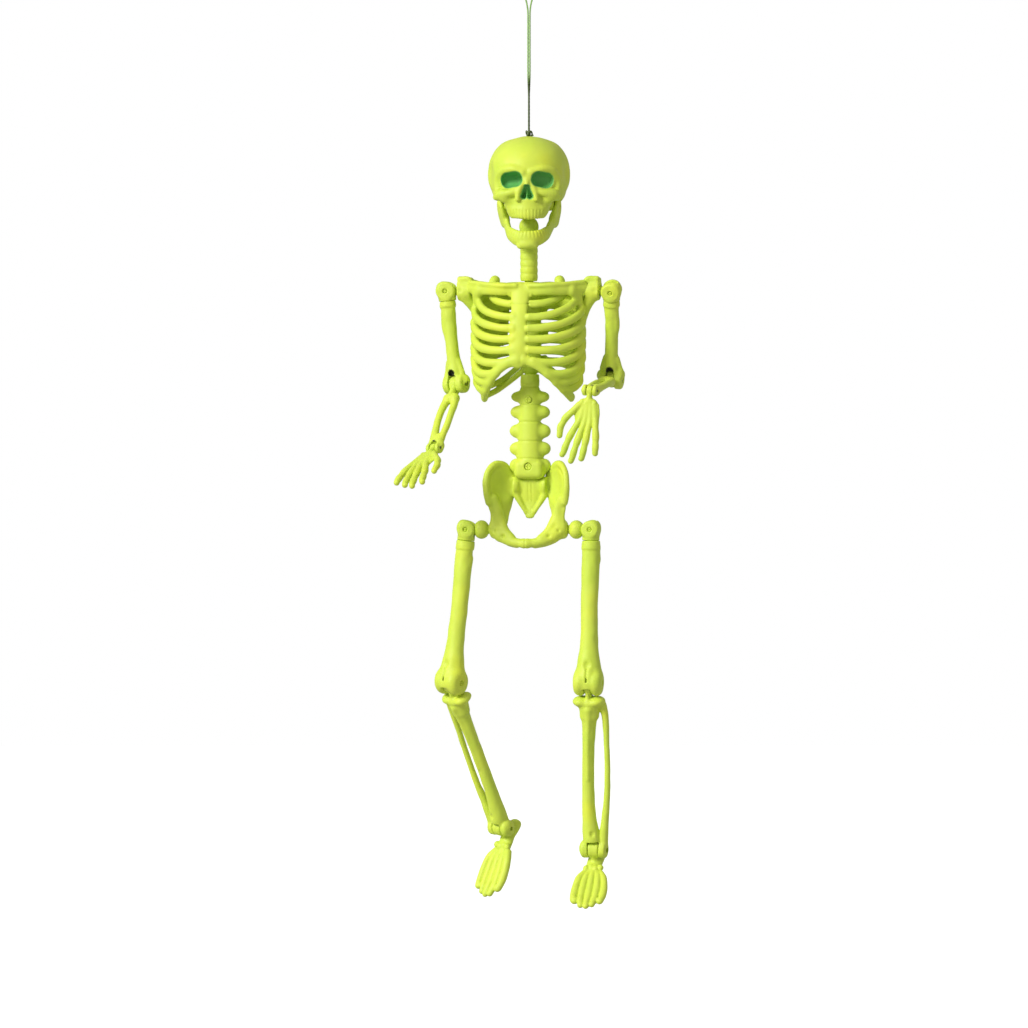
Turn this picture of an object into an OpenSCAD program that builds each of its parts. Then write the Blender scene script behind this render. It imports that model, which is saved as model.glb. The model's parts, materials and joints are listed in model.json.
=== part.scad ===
// Hanging toy skeleton with a hollow skull, a working jaw and pinned limbs.
// The origin is the top of the hanging loop, the figure faces -Y, and its own left is +X.
// Limbs are drawn for the left side, hanging straight down, then posed and mirrored.

/* [Skull] */
// Width of the braincase
skull_w = 43; // [41:0.5:45]
// Depth of the braincase from forehead to nape
skull_d = 49; // [47:0.5:51]
// Wall of the hollow skull
skull_wall = 2.2; // [2:0.1:2.6]
// Height of the crown above the shoulder line
crown_over_shoulders = 81; // [80:0.5:82]

/* [Torso] */
// Width of the rib cage
cage_w = 60.5; // [59.5:0.5:61]
// Depth of the rib cage
cage_d = 42; // [41:0.5:43]
// Distance from one rib to the next
rib_pitch = 5.8; // [5.6:0.1:5.9]
// Distance between the two shoulder pivots
shoulder_span = 89; // [88:1:92]
// Distance between the two hip pivots
hip_span = 67; // [66:1:70]

/* [Limbs] */
// Upper arm from shoulder pivot to elbow pin
upper_arm_l = 49.5; // [46:0.5:53]
// Forearm from elbow pin to wrist pin
forearm_l = 42; // [40:0.5:45]
// Thigh from hip pivot to knee pin
thigh_l = 81; // [78:1:84]
// Shin from knee pin to ankle pin
shin_l = 91; // [86:1:94]

/* [Stored pose, degrees] */
// Opening of the jaw
jaw_pose = 15; // [0:1:30]
// Turn of the head towards the figure's left
head_pose = 9; // [-30:1:30]
// Left arm: swing, raise, twist, elbow, wrist
left_arm_pose = [-20, -4, -5, 101, 80]; // [-40:1:110]
// Right arm: swing, raise, twist, elbow, wrist
right_arm_pose = [0, -6, 23, 38, -20]; // [-40:1:110]
// Left leg: swing, spread, twist, knee, ankle
left_leg_pose = [0, -1, 0, 14, 24]; // [-20:1:100]
// Right leg: swing, spread, twist, knee, ankle
right_leg_pose = [0, 6, 30, 34, 30]; // [-20:1:100]

/* [Hidden] */

$fn = 32;
lime = [0.80, 0.93, 0.20];
steel = [0.55, 0.57, 0.58];
twine = [0.36, 0.44, 0.24];
gap = 0.3;            // clear of a neighbour on another body
fit = 0.05;           // radial clearance of a pin in its bore
left = 1;
right = -1;
rib_pairs = 9;

crown_z = -84;
shoulder_z = crown_z - crown_over_shoulders;
shoulder = [shoulder_span / 2, 0, shoulder_z];
hip_z = -291;
hip = [hip_span / 2, 0, hip_z];
jaw_pivot = [16, 1, crown_z - 35.5];
neck_pivot_z = crown_z - 37;
collar_z = -160;      // where the neck enters the chest
blade_face = 38.2;    // outer face of a shoulder blade
socket_face = 21.2;   // outer face of a hip socket

// ---- Shapes made from rings of points ----

function unit(v) = v / norm(v);
function oval(c, r, n) = [for (i = [0:n - 1]) let (t = 360 * i / n)
    [c[0] + r[0] * cos(t), c[1] + r[1] * sin(t), c[2]]];
function heading(path, i) = unit(path[min(i + 1, len(path) - 1)] - path[max(i - 1, 0)]);
function section(path, i, r, up, n) =
    let (t = heading(path, i), u = unit(cross(t, up)), v = cross(t, u))
    [for (j = [0:n - 1]) path[i] + u * r[0] * cos(360 * j / n) + v * r[1] * sin(360 * j / n)];
function curve_at(p, i, t) =
    let (a = p[max(i - 1, 0)], b = p[i], c = p[i + 1], d = p[min(i + 2, len(p) - 1)])
    0.5 * (2 * b + (c - a) * t + (2 * a - 5 * b + 4 * c - d) * t * t
        + (3 * b - a - 3 * c + d) * t * t * t);
function smooth(p, steps) = concat(
    [for (i = [0:len(p) - 2]) for (k = [0:steps - 1]) curve_at(p, i, k / steps)],
    [p[len(p) - 1]]);

// A closed skin over rings with equal numbers of points, running anticlockwise about the way they go.
module skin(rings) {
    n = len(rings[0]);
    m = len(rings);
    sides = [for (i = [0:m - 2]) for (j = [0:n - 1])
        let (a = i * n + j, b = i * n + (j + 1) % n) each [[a, b + n, b], [a, a + n, b + n]]];
    caps = [[for (j = [0:n - 1]) j], [for (j = [0:n - 1]) m * n - 1 - j]];
    polyhedron([for (r = rings) each r], concat(sides, caps));
}

// Upright form: rows of [z, x, y, half width, half depth] from the bottom up.
module loft(rows, n = 12) skin([for (r = rows) oval([r[1], r[2], r[0]], [r[3], r[4]], n)]);

// Tube of oval section along a path: one [level half width, upright half width] a point.
module tube(path, sizes, up = [0, 0, 1], n = 8)
    skin([for (i = [0:len(path) - 1]) section(path, i, sizes[i], up, n)]);

module along_x(l, r) rotate([0, 90, 0]) cylinder(h = l, r = r, center = true);
module along_y(l, r) rotate([90, 0, 0]) cylinder(h = l, r = r, center = true);
module block(low, high) translate(low) cube(high - low);
module both_sides() {
    children();
    mirror([1, 0, 0]) children();
}
module on_side(side) {
    if (side == left) children();
    if (side == right) mirror([1, 0, 0]) children();
}

// ---- Frames of the moving parts ----

function arm_pose(side) = side == left ? left_arm_pose : right_arm_pose;
function leg_pose(side) = side == left ? left_leg_pose : right_leg_pose;

module in_head() rotate([0, 0, head_pose]) children();
module in_jaw() in_head() translate([0, jaw_pivot[1], jaw_pivot[2]]) rotate([jaw_pose, 0, 0]) children();

module in_peg(side, pivot, pose) on_side(side) translate(pivot) rotate([-pose[0], 0, 0]) children();
module in_ball(side, pivot, pose) in_peg(side, pivot, pose) rotate([0, -pose[1], 0]) children();
module in_limb(side, pivot, pose) in_ball(side, pivot, pose) rotate([0, 0, pose[2]]) children();

module in_upper_arm(side) in_limb(side, shoulder, arm_pose(side)) children();
module in_forearm(side) in_upper_arm(side) translate([0, 0, -upper_arm_l])
    rotate([-arm_pose(side)[3], 0, 0]) children();
module in_hand(side) in_forearm(side) translate([0, 0, -forearm_l])
    rotate([arm_pose(side)[4], 0, 0]) children();
module in_thigh(side) in_limb(side, hip, leg_pose(side)) children();
module in_shin(side) in_thigh(side) translate([0, 0, -thigh_l])
    rotate([leg_pose(side)[3], 0, 0]) children();
module in_foot(side) in_shin(side) translate([0, 0, -shin_l])
    rotate([leg_pose(side)[4], 0, 0]) children();

// ---- String and knots ----

string_d = 0.9;
// One strand of the hanging loop, from the knot in the skull up to the eye. The other is its half turn.
strand = [[0, 0.5, -88], [0, 0.5, -84], [0, 0.5, -80], [0, 0.5, -74], [0, 0.5, -68], [0, 0.5, -62],
    [0.2, 0.45, -57], [0.4, 0.3, -52], [0.5, 0.1, -46], [0.5, 0, -40], [0.5, 0, -34], [0.5, 0, -28],
    [0.5, 0, -22], [0.6, 0, -17], [1.2, 0, -13], [2.2, 0, -9.5], [3, 0, -6], [2.8, 0, -2.8], [1.6, 0, -0.6]];
string_route = concat(strand, [[0, 0, 0]],
    [for (i = [len(strand) - 1:-1:0]) [-strand[i][0], -strand[i][1], strand[i][2]]]);

module hanging_string() color(twine) {
    path = smooth(string_route, 2);
    tube(path, [for (p = path) [string_d, string_d] / 2], [0, 1, 0.01], 8);
}

module crown_knot() color(twine) {
    translate([0, 0, crown_z + 2.1]) sphere(r = 1.8);
    translate([0.9, 0.2, crown_z + 1.5]) sphere(r = 1.2);
    translate([-0.6, -0.4, crown_z + 3.2]) sphere(r = 1.1);
}

module stop_knot() color(twine) {
    translate([0, 0, crown_z - skull_wall - gap - 1.9]) sphere(r = 1.9);
    translate([0.7, 0, crown_z - skull_wall - gap - 3]) sphere(r = 1.4);
}

// ---- Skull ----

// Rows of the braincase: [share of the height, forward shift, share of the width, share of the depth].
case_h = 38;
case_rows = [[0, 7, 0.28, 0.28], [0.05, 6, 0.52, 0.46], [0.14, 3.5, 0.78, 0.72], [0.27, 1.5, 0.92, 0.92],
    [0.42, 0.5, 0.99, 0.99], [0.56, 0, 1, 1], [0.7, 0, 0.96, 0.96], [0.82, 0, 0.84, 0.84],
    [0.92, 0, 0.63, 0.64], [0.98, 0, 0.36, 0.38], [1, 0, 0.14, 0.14]];
split_y = 3.5;        // seam between the face half and the back half

module braincase(wall) {
    loft([for (r = case_rows) [crown_z - wall - (1 - r[0]) * (case_h - 2 * wall), 0, r[1],
        r[2] * (skull_w / 2 - wall), r[3] * (skull_d / 2 - wall)]], 20);
}

module face_mask() {
    loft([[crown_z - 43, 0, -14, 8, 7], [crown_z - 39, 0, -13.5, 9.6, 9],
        [crown_z - 34, 0, -11.5, 13, 12.5], [crown_z - 30, 0, -9.5, 17, 13.5],
        [crown_z - 24, 0, -8, 17.5, 14], [crown_z - 18, 0, -6, 16.5, 13]], 20);
}

module eye_socket() translate([8.6, -26, crown_z - 22.2]) rotate([-96, 0, 12])
    cylinder(h = 12, r1 = 6.4, r2 = 3.6);

module nose_hole() loft([[crown_z - 33, 0, -24, 3.6, 7], [crown_z - 30, 0, -24, 3.4, 7],
    [crown_z - 25.5, 0, -24, 1.2, 6]], 12);

module skull_solid() {
    difference() {
        union() {
            difference() {
                union() {
                    braincase(0);
                    face_mask();
                }
                braincase(skull_wall);
            }
            both_sides() {
                block([4.7, -3.2, crown_z - 40], [7.4, 3.2, crown_z - 33]);
                translate([11, jaw_pivot[1], jaw_pivot[2]]) along_x(4, 3.2);
                block([9.4, -2, jaw_pivot[2]], [13, 3.3, crown_z - 29]);
            }
        }
        both_sides() eye_socket();
        nose_hole();
        translate([0, 0, crown_z - 5]) cylinder(h = 10, r = 1.15);
        translate([0, 0, crown_z - 60]) cylinder(h = 36, r = 4.2);
        both_sides() translate([19.4, jaw_pivot[1], jaw_pivot[2]]) along_x(20, 0.9 + fit);
        translate([0, 0, neck_pivot_z]) along_x(15.6, 0.9 + fit);
        both_sides() block([13.2, -7, crown_z - 46], [30, 8, crown_z - 30.6]);
    }
}

module skull_face() in_head() color(lime) difference() {
    skull_solid();
    block([-40, split_y, crown_z - 60], [40, 60, crown_z + 10]);
}

module skull_back() in_head() color(lime) {
    difference() {
        skull_solid();
        block([-40, -60, crown_z - 60], [40, split_y, crown_z + 10]);
    }
}

module jaw_bone() {
    side = [[13.8, 5, -8.4], [11.8, -4, -10.8], [9.4, -13, -12.6], [5.6, -20.2, -13.4]];
    arch = smooth(concat(side, [[0, -22.4, -13.6]], [for (i = [3:-1:0]) [-side[i][0], side[i][1], side[i][2]]]), 2);
    n = len(arch) - 1;
    tube(arch, [for (i = [0:n]) [1.7, 3.2 + 1.4 * sin(180 * i / n)]], [0, 0, 1], 8);
    both_sides() difference() {
        tube([[15.6, 1, 2.6], [15.6, 1.5, -1], [15.3, 3, -5], [14.2, 4.2, -9], [13, 3, -11.6]],
            [[2, 1.3], [3.2, 1.6], [3.6, 1.6], [3.8, 1.7], [2.6, 1.4]], [1, 0, 0.01], 8);
        along_x(60, 0.9 + fit);
    }
}

module jaw() in_jaw() color(lime) jaw_bone();

module jaw_pins() in_head() color(steel) translate([0, jaw_pivot[1], jaw_pivot[2]])
    both_sides() {
        translate([13.6, 0, 0]) along_x(8, 0.9);
        translate([17.9, 0, 0]) along_x(0.6, 1.5);
    }

// ---- Neck ----

module neck() in_head() color(lime) difference() {
    union() {
        translate([0, 0, neck_pivot_z]) sphere(r = 3.6);
        translate([0, 0, neck_pivot_z - 6]) cylinder(h = 6, r = 2.6);
        translate([0, 0, neck_pivot_z - 10]) sphere(r = 5.1);
        loft([[collar_z + gap, 0, 0, 5, 5], [collar_z + 3, 0, 0, 4.8, 4.9], [-151, 0, 0, 4.6, 4.8],
            [-146, 0, 0, 4.4, 4.8], [-140, 0, 0, 4.5, 4.8], [neck_pivot_z - 12, 0, 0, 4.6, 4.8]], 16);
        translate([0, 0, collar_z - 4]) cylinder(h = 6, r = 2.2);
        translate([0, 0, collar_z - 5]) sphere(r = 3.1);
    }
    translate([0, 0, neck_pivot_z]) along_x(20, 0.9 + fit);
}

module neck_pin() in_head() color(steel) translate([0, 0, neck_pivot_z]) along_x(15, 0.9);

// ---- Torso ----

cage_y = -2;
// Front end of each rib, on the breastbone and then along the costal arch: [x, z].
rib_ends = concat([for (i = [0:4]) [4, -173 - rib_pitch * i]],
    [[9, -204.6], [13.6, -208.3], [17.6, -212.6], [20.8, -216.8]]);
// The costal arch, from the tip of the breastbone out to the side.
arch_route = [[2, -21.2, -201.5], [9, -20.4, -204.6], [14.5, -18.4, -209.2], [19.2, -13, -214.8],
    [22.2, -7.4, -219], [23.4, -2.6, -221.4]];
function rib_side_z(i) = -161.6 - (rib_pitch + 0.6) * i;
// Share of the full width and depth that each rib reaches, at the side and at its front end.
rib_reach = [0.68, 0.92, 1, 1, 1, 1, 1, 0.98, 0.95];
front_reach = [0.68, 0.92, 1, 1, 1, 1, 0.98, 0.91, 0.85];

// Distance of the upper spine's centre behind the hanging line, at height z.
function spine_y(z) = 3 + 6.5 * sin(180 * (z + 212) / 56);

function cage_point(s, a) = [s * (cage_w / 2 - 1.6) * sin(a), cage_y - s * (cage_d / 2 - 1.6) * cos(a), 0];
function rib_start(i) = asin(rib_ends[i][0] / (front_reach[i] * (cage_w / 2 - 1.6)));
function front_rib(i) = let (a0 = rib_start(i), z0 = rib_ends[i][1])
    [for (k = [0:6]) let (t = k / 6, a = a0 + (89.3 - a0) * t,
            s = front_reach[i] + (rib_reach[i] - front_reach[i]) * t)
        cage_point(s, a) + [0, 0, z0 + (rib_side_z(i) - z0) * (1 - cos(90 * t))]];
function rear_rib(i) = let (z = rib_side_z(i), rise = min(11, -162.5 - 3.2 * i - z), top = z + rise)
    concat([for (k = [0:5]) let (t = k / 5)
            cage_point(rib_reach[i], 90.9 + 63 * t) + [0, 0, z + rise * sin(80 * t)]],
        [[3, spine_y(top) + 1.5, top]]);

module breastbone() loft([[-204.6, 0, -21.2, 2.6, 1.5], [-202.6, 0, -21.4, 4, 1.8], [-190, 0, -21.2, 4.8, 2],
    [-180, 0, -19.6, 4.7, 2], [-173, 0, -16.6, 5, 2], [-167, 0, -14.2, 5.4, 2.4], [-161.6, 0, -13, 5, 1.8]], 12);

module rib_cage_front() color(lime) {
    breastbone();
    both_sides() {
        for (i = [0:rib_pairs - 1]) tube(front_rib(i), [for (k = [0:6]) [1.5, 1.9]], [0, 0, 1], 8);
        // costal arch
        arch = smooth(arch_route, 2);
        tube(arch, [for (p = arch) [1.6, 2.6]], [0, 0, 1], 8);
        // collar bone
        tube([[3, -13.4, -164.6], [12, -14.4, -164.2], [22, -9.4, -163.6], [30.6, -3.6, -162.6]],
            [[1.5, 3], [1.6, 2.8], [1.5, 2.4], [1.4, 2]], [0, 0, 1], 8);
    }
}

module rib_cage_rear() color(lime) {
    difference() {
        union() {
            loft([for (z = [-208.6, -199, -190, -181, -172, -165, -160.4])
                [z, 0, spine_y(z), 5 - 0.01 * (z + 170), 4.6]], 12);
            translate([0, 0, collar_z - 9]) cylinder(h = 8.7, r = 5.4);
        }
        translate([0, 0, collar_z - 4]) cylinder(h = 6, r = 2.2 + fit);
        translate([0, 0, collar_z - 5]) sphere(r = 3.4);
    }
    both_sides() for (i = [0:rib_pairs - 1]) tube(rear_rib(i), [for (k = [0:6]) [1.5, 1.9]], [0, 0, 1], 8);
    // lower edge of the cage, from its side back up to the spine
    both_sides() tube([[23.6, -1.4, -221], [21, 7, -219.6], [13, 11, -216], [3, 6, -207]],
        [[1.5, 2.2], [1.5, 2.2], [1.5, 2], [1.5, 1.8]], [0, 0, 1], 8);
    // rounded tips of the vertebrae down the back
    for (i = [0:rib_pairs - 1]) let (z = -164.4 - 5.2 * i) translate([0, spine_y(z) + 4.8, z]) along_y(3.4, 1.5);
}

module shoulder_blade() color(lime) difference() {
    union() {
        translate([34.6, 0, shoulder_z]) along_x(7.2, 5);
        block([31, -2.6, shoulder_z + 1], [38.2, 5, shoulder_z + 7.2]);
        tube([[33, 4, shoulder_z + 3.6], [29, 11, shoulder_z + 2], [22, 17.6, shoulder_z - 2],
            [14, 20.6, shoulder_z - 5]], [[1.6, 2.6], [1.6, 2.4], [1.3, 1.9], [1, 1.4]], [0, 0, 1], 8);
        translate([21.5, 17.6, shoulder_z]) rotate([90, 0, -28]) linear_extrude(height = 1.8, center = true)
            polygon([[-8, -1], [3, 3], [8.5, 1], [7, -8], [-1, -29], [-4, -30], [-6.5, -26]]);
    }
    translate([34, 0, shoulder_z]) along_x(20, 2.2 + fit);
}
module left_shoulder_blade() shoulder_blade();
module right_shoulder_blade() mirror([1, 0, 0]) shoulder_blade();

// Heights of the side lobes of the lumbar vertebrae.
lobe_z = [-221, -229, -239, -248, -256.8];
screw_z = [-222.3, -257.7];
lumbar_y = 2.5;

module lumbar_spine() color(lime) difference() {
    union() {
        loft([[-264.2, 0, lumbar_y, 7.2, 5.6], [-258, 0, lumbar_y, 7.2, 5.8], [-240, 0, lumbar_y, 6, 5.4],
            [-215, 0, lumbar_y, 5.6, 5.2], [-208.9, 0, lumbar_y, 5.6, 5]], 16);
        for (z = lobe_z) tube([[-10, lumbar_y + 1, z], [-8, lumbar_y, z], [8, lumbar_y, z], [10, lumbar_y + 1, z]],
            [[1.2, 1.4], [2.2, 2.6], [2.2, 2.6], [1.2, 1.4]], [0, 0, 1], 8);
        for (z = lobe_z) translate([0, lumbar_y + 5.4, z - 2]) along_y(3.6, 1.5);
    }
    for (z = screw_z) translate([0, lumbar_y - 5.6, z]) {
        along_y(3, 2);
        along_y(12, 0.9 + fit);
    }
}

module spine_screws() color(steel) for (z = screw_z) translate([0, lumbar_y - 4.6, z]) {
    difference() {
        along_y(0.9, 1.8);
        for (a = [0, 90]) rotate([0, a, 0]) block([-1.2, -1, -0.25], [1.2, -0.1, 0.25]);
    }
    translate([0, 2.4, 0]) along_y(4.4, 0.9);
}

module iliac_wing() skin([for (r = [
    [-294, 17.6, -2.5, 3.2, 4.6, 0], [-286, 17.6, -2, 3, 5.8, 8], [-278, 17, -1, 2.2, 7.4, 28],
    [-270, 16.8, 0, 2, 9, 42], [-262, 17, 0.6, 1.8, 9, 46], [-257, 17, 1.4, 1.6, 6.4, 48],
    [-254.6, 17, 2, 1, 3, 48]])
    [for (p = oval([0, 0, 0], [r[3], r[4]], 12)) [r[1] + p[0] * cos(r[5]) - p[1] * sin(r[5]),
        r[2] + p[0] * sin(r[5]) + p[1] * cos(r[5]), r[0]]]]);

module pelvis() color(lime) difference() {
    union() {
        loft([[-285, 0, 3, 1.4, 1.6], [-279, 0, 5, 4.6, 2.6], [-271, 0, 6, 9.6, 3.8],
            [-267.4, 0, 4.6, 11.8, 4.4], [-264.6, 0, 4, 9, 4.2]], 16);
        both_sides() {
            iliac_wing();
            translate([17.6, 0, hip_z]) along_x(7.2, 5.2);
            tube([[18, -2.6, -293], [13, -5.4, -296.4], [7, -7.6, -297.8], [-0.4, -8.4, -297.8]],
                [[3.4, 3.4], [2.8, 2.8], [2.3, 2.6], [2.3, 3]], [0, -1, 0.01], 8);
        }
    }
    both_sides() translate([19, 0, hip_z]) along_x(11, 2.2 + fit);
}

// ---- Joints of the shoulders and hips ----

// Peg that turns in the torso's socket; its flat outer end is an eye for the cross pin.
module peg(inner) difference() {
    union() {
        translate([inner, 0, 0]) rotate([0, 90, 0]) cylinder(h = -inner - 5.7, r = 2.2);
        block([-6, -1.45, -2], [0, 1.45, 2]);
        along_y(2.9, 2.6);
    }
    along_y(20, 0.9 + fit);
}

// Round block on the cross pin, with a ball-ended stem that the limb turns on.
module pivot_head(r, w, skirt, stem_r, ball_r) difference() {
    union() {
        along_y(w, r);
        translate([0, 0, -skirt]) cylinder(h = skirt, r = min(r, w / 2) - 0.2);
        translate([0, 0, -skirt - 6]) cylinder(h = 7, r = stem_r);
        translate([0, 0, -skirt - 5.5]) sphere(r = ball_r);
    }
    block([-20, -1.8, -3.3], [3.2, 1.8, 20]);
    along_y(20, 0.9 + fit);
}

module stem_hole(skirt, stem_r, ball_r) translate([0, 0, -skirt]) {
    translate([0, 0, -6]) cylinder(h = 8, r = stem_r + fit);
    translate([0, 0, -5.5]) sphere(r = ball_r + 0.3);
}

arm_skirt = 5.2;
leg_skirt = 5.8;

module shoulder_peg(side) in_peg(side, shoulder, arm_pose(side)) color(lime) peg(-13);
module shoulder_pin(side) in_ball(side, shoulder, arm_pose(side)) color(steel) along_y(9, 0.9);
module shoulder_head(side) in_ball(side, shoulder, arm_pose(side)) color(lime)
    pivot_head(5.1, 9.4, arm_skirt, 1.3, 1.9);

module hip_peg(side) in_peg(side, hip, leg_pose(side)) color(lime) {
    peg(-18.3);
    translate([-8.1, 0, 0]) sphere(r = 3.8);
}
module hip_pin(side) in_ball(side, hip, leg_pose(side)) color(steel) along_y(9.4, 0.9);
module hip_head(side) in_ball(side, hip, leg_pose(side)) color(lime)
    pivot_head(4.7, 9.8, leg_skirt, 1.6, 2.4);

// ---- Arm ----

module upper_arm(side) in_upper_arm(side) color(lime) difference() {
    union() {
        loft([[-upper_arm_l + 2, 0, 0, 4.6, 4], [-upper_arm_l + 6, 0, 0, 4.8, 3.8], [-upper_arm_l + 12, 0, 0, 3.5, 3.3],
            [-24, 0, 0, 3.2, 3.2], [-14, 0, 0, 3.4, 3.4], [-8, 0, 0, 3.7, 3.7],
            [-arm_skirt - gap, 0, 0, 3.7, 3.9]], 16);
        translate([0, 0, -upper_arm_l]) along_x(12.4, 5);
        translate([-6, 0, -upper_arm_l]) along_x(2.4, 2.8);
    }
    stem_hole(arm_skirt, 1.3, 1.9);
    translate([0, 0, -upper_arm_l]) {
        block([-2.3, -20, -20], [2.3, 20, 5.3]);
        along_x(40, 0.9 + fit);
    }
}
module elbow_pin(side) in_upper_arm(side) translate([0, 0, -upper_arm_l]) color(steel) along_x(12.2, 0.9);

module forearm(side) in_forearm(side) color(lime) difference() {
    union() {
        along_x(4, 4.3);
        loft([[-9, 0, 0, 3.6, 3], [-7, 0, 0.4, 2, 3.4], [-3, 0, 0.8, 2, 3.4]], 12);
        for (x = [-1, 1]) tube([[x * 1.6, 0, -7], [x * 2.9, 0, -12], [x * 3.2, -0.4, -20], [x * 2.9, -0.3, -28],
            [x * 2, 0, -36]], [[1.6, 2.4], [1.6, 2], [1.5, 1.8], [1.5, 1.8], [1.8, 2.2]], [0, -1, 0.01], 8);
        loft([[-forearm_l + 1, 0, 0, 3.8, 2.8], [-forearm_l + 5, 0, 0, 4.2, 2.8], [-forearm_l + 8, 0, 0, 3.6, 2.4]], 12);
        translate([0, 0, -forearm_l]) along_x(8, 3);
    }
    along_x(40, 0.9 + fit);
    translate([0, 0, -forearm_l]) {
        block([-1.8, -20, -20], [1.8, 20, 3.3]);
        along_x(40, 0.7 + fit);
    }
}
module wrist_pin(side) in_forearm(side) translate([0, 0, -forearm_l]) color(steel) along_x(7.8, 0.7);

// Root, knuckle and tip of the thumb and the fingers: [x, z] each.
fingers = [[[-4.4, -8], [-9.6, -17], [-14, -27]], [[-3.4, -15], [-8, -25], [-11.4, -36.6]],
    [[-0.8, -16], [-3.6, -27], [-6.4, -39.6]], [[2, -15.4], [0.8, -26.4], [-0.8, -37.8]],
    [[4.6, -14.4], [6, -24], [6.4, -34.4]]];

module hand(side) in_hand(side) color(lime) difference() {
    union() {
        along_x(3, 2.6);
        loft([[-17, 0.6, 0, 5.6, 1.5], [-12, 0, 0, 6.4, 1.9], [-7, -0.2, 0, 4.8, 2.2], [-4.2, 0, 0, 2.6, 2.2]], 12);
        loft([[-5, 0, 0, 1.5, 2.2], [-1, 0, 0, 1.5, 2.2]], 8);
        for (f = fingers) tube(smooth([[f[0][0], 0, f[0][1]], [f[1][0], -1.4, f[1][1]], [f[2][0], -1, f[2][1]]], 3),
            [for (k = [0:6]) [1.7, 1.6] * (1 - 0.06 * k)], [0, -1, 0.01], 8);
    }
    along_x(40, 0.7 + fit);
}

// ---- Leg ----

module thigh(side) in_thigh(side) color(lime) difference() {
    union() {
        loft([[-thigh_l + 3, 0, 0, 6.4, 5.4], [-thigh_l + 8, 0, 0, 6.8, 5], [-thigh_l + 15, 0, 0, 5, 4.4],
            [-thigh_l + 24, 0, 0, 4.5, 4.2], [-40, 0, 0, 4.4, 4.2], [-20, 0, 0, 4.5, 4.4], [-10, 0, 0, 4.7, 4.6],
            [-leg_skirt - gap, 0, 0, 4.6, 4.6]], 16);
        translate([0, 0, -thigh_l]) along_x(14.8, 6.4);
    }
    stem_hole(leg_skirt, 1.6, 2.4);
    translate([0, 0, -thigh_l]) {
        block([-3, -20, -20], [3, 20, 6.4]);
        along_x(40, 0.9 + fit);
    }
}
module knee_pin(side) in_thigh(side) translate([0, 0, -thigh_l]) color(steel) along_x(14.6, 0.9);

module shin(side) in_shin(side) color(lime) difference() {
    union() {
        along_x(5.4, 5.3);
        loft([[-9, 0, 0, 2.7, 4.4], [-2, 0, 0, 2.7, 4.4]], 12);
        // tibia
        loft([[-shin_l + 1, -0.6, 0, 5.4, 4], [-shin_l + 8, -1.4, 0, 5, 3.8], [-shin_l + 16, -2, 0, 3.8, 3.6],
            [-62, -2, 0, 3.3, 3.4], [-44, -1.4, 0, 3.2, 3.6], [-26, -0.6, 0, 3.6, 4], [-17, 0, 0, 5, 4.8],
            [-12, 0, 0, 7.6, 5.6], [-7.6, 0, 0, 7.9, 5.6]], 16);
        // fibula
        tube([[6.6, 1, -12], [8, 1.4, -16], [8.4, 1.4, -30], [8.4, 1.2, -48], [7.6, 0.8, -64], [5.6, 0.4, -80],
            [5, 0, -shin_l + 2]], [[2.2, 2.6], [2.2, 2.6], [1.7, 1.9], [1.6, 1.8], [1.7, 1.9], [2, 2.2],
            [1.8, 3.4]], [0, -1, 0.01], 8);
        translate([0, 0, -shin_l]) along_x(13, 4.4);
    }
    along_x(40, 0.9 + fit);
    translate([0, 0, -shin_l]) {
        block([-2.9, -20, -20], [2.9, 20, 4.6]);
        along_x(40, 0.9 + fit);
    }
}
module ankle_pin(side) in_shin(side) translate([0, 0, -shin_l]) color(steel) along_x(12.8, 0.9);

toe_reach = [37.5, 37, 35.5, 33.5, 31];

module foot(side) in_foot(side) color(lime) difference() {
    union() {
        along_x(5.2, 3.8);
        loft([[-8, 0, 0, 3.6, 5], [-5.2, 0, 0, 2.6, 4.4], [-1, 0, 0, 2.6, 3.6]], 12);
        tube([[0, 8.4, -8.4], [0, 6, -8.2], [0, 0, -7.9], [-0.4, -7, -8.2], [-0.6, -13, -8.8]],
            [[2.2, 1.8], [3.6, 3], [4.2, 2.9], [5.4, 2.9], [6.6, 2.4]], [0, 0, 1], 12);
        for (k = [0:4]) let (x0 = -4.6 + 2.2 * k, x1 = -7.4 + 4 * k)
            tube(smooth([[x0, -9, -8.6], [(x0 + x1) / 2, -19, -8.4], [x1, -26, -9.6], [x1, -toe_reach[k], -9.8]], 2),
                [for (j = [0:6]) [k == 0 ? 2.1 : 1.7, 1.9] * (j == 6 ? 0.75 : 1)], [0, 0, 1], 8);
    }
    along_x(40, 0.9 + fit);
}

// ---- Named pieces of each side ----

module left_shoulder_peg() shoulder_peg(left);
module left_shoulder_pin() shoulder_pin(left);
module left_shoulder_head() shoulder_head(left);
module left_upper_arm() upper_arm(left);
module left_elbow_pin() elbow_pin(left);
module left_forearm() forearm(left);
module left_wrist_pin() wrist_pin(left);
module left_hand() hand(left);
module right_shoulder_peg() shoulder_peg(right);
module right_shoulder_pin() shoulder_pin(right);
module right_shoulder_head() shoulder_head(right);
module right_upper_arm() upper_arm(right);
module right_elbow_pin() elbow_pin(right);
module right_forearm() forearm(right);
module right_wrist_pin() wrist_pin(right);
module right_hand() hand(right);
module left_hip_peg() hip_peg(left);
module left_hip_pin() hip_pin(left);
module left_hip_head() hip_head(left);
module left_thigh() thigh(left);
module left_knee_pin() knee_pin(left);
module left_shin() shin(left);
module left_ankle_pin() ankle_pin(left);
module left_foot() foot(left);
module right_hip_peg() hip_peg(right);
module right_hip_pin() hip_pin(right);
module right_hip_head() hip_head(right);
module right_thigh() thigh(right);
module right_knee_pin() knee_pin(right);
module right_shin() shin(right);
module right_ankle_pin() ankle_pin(right);
module right_foot() foot(right);

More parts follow.
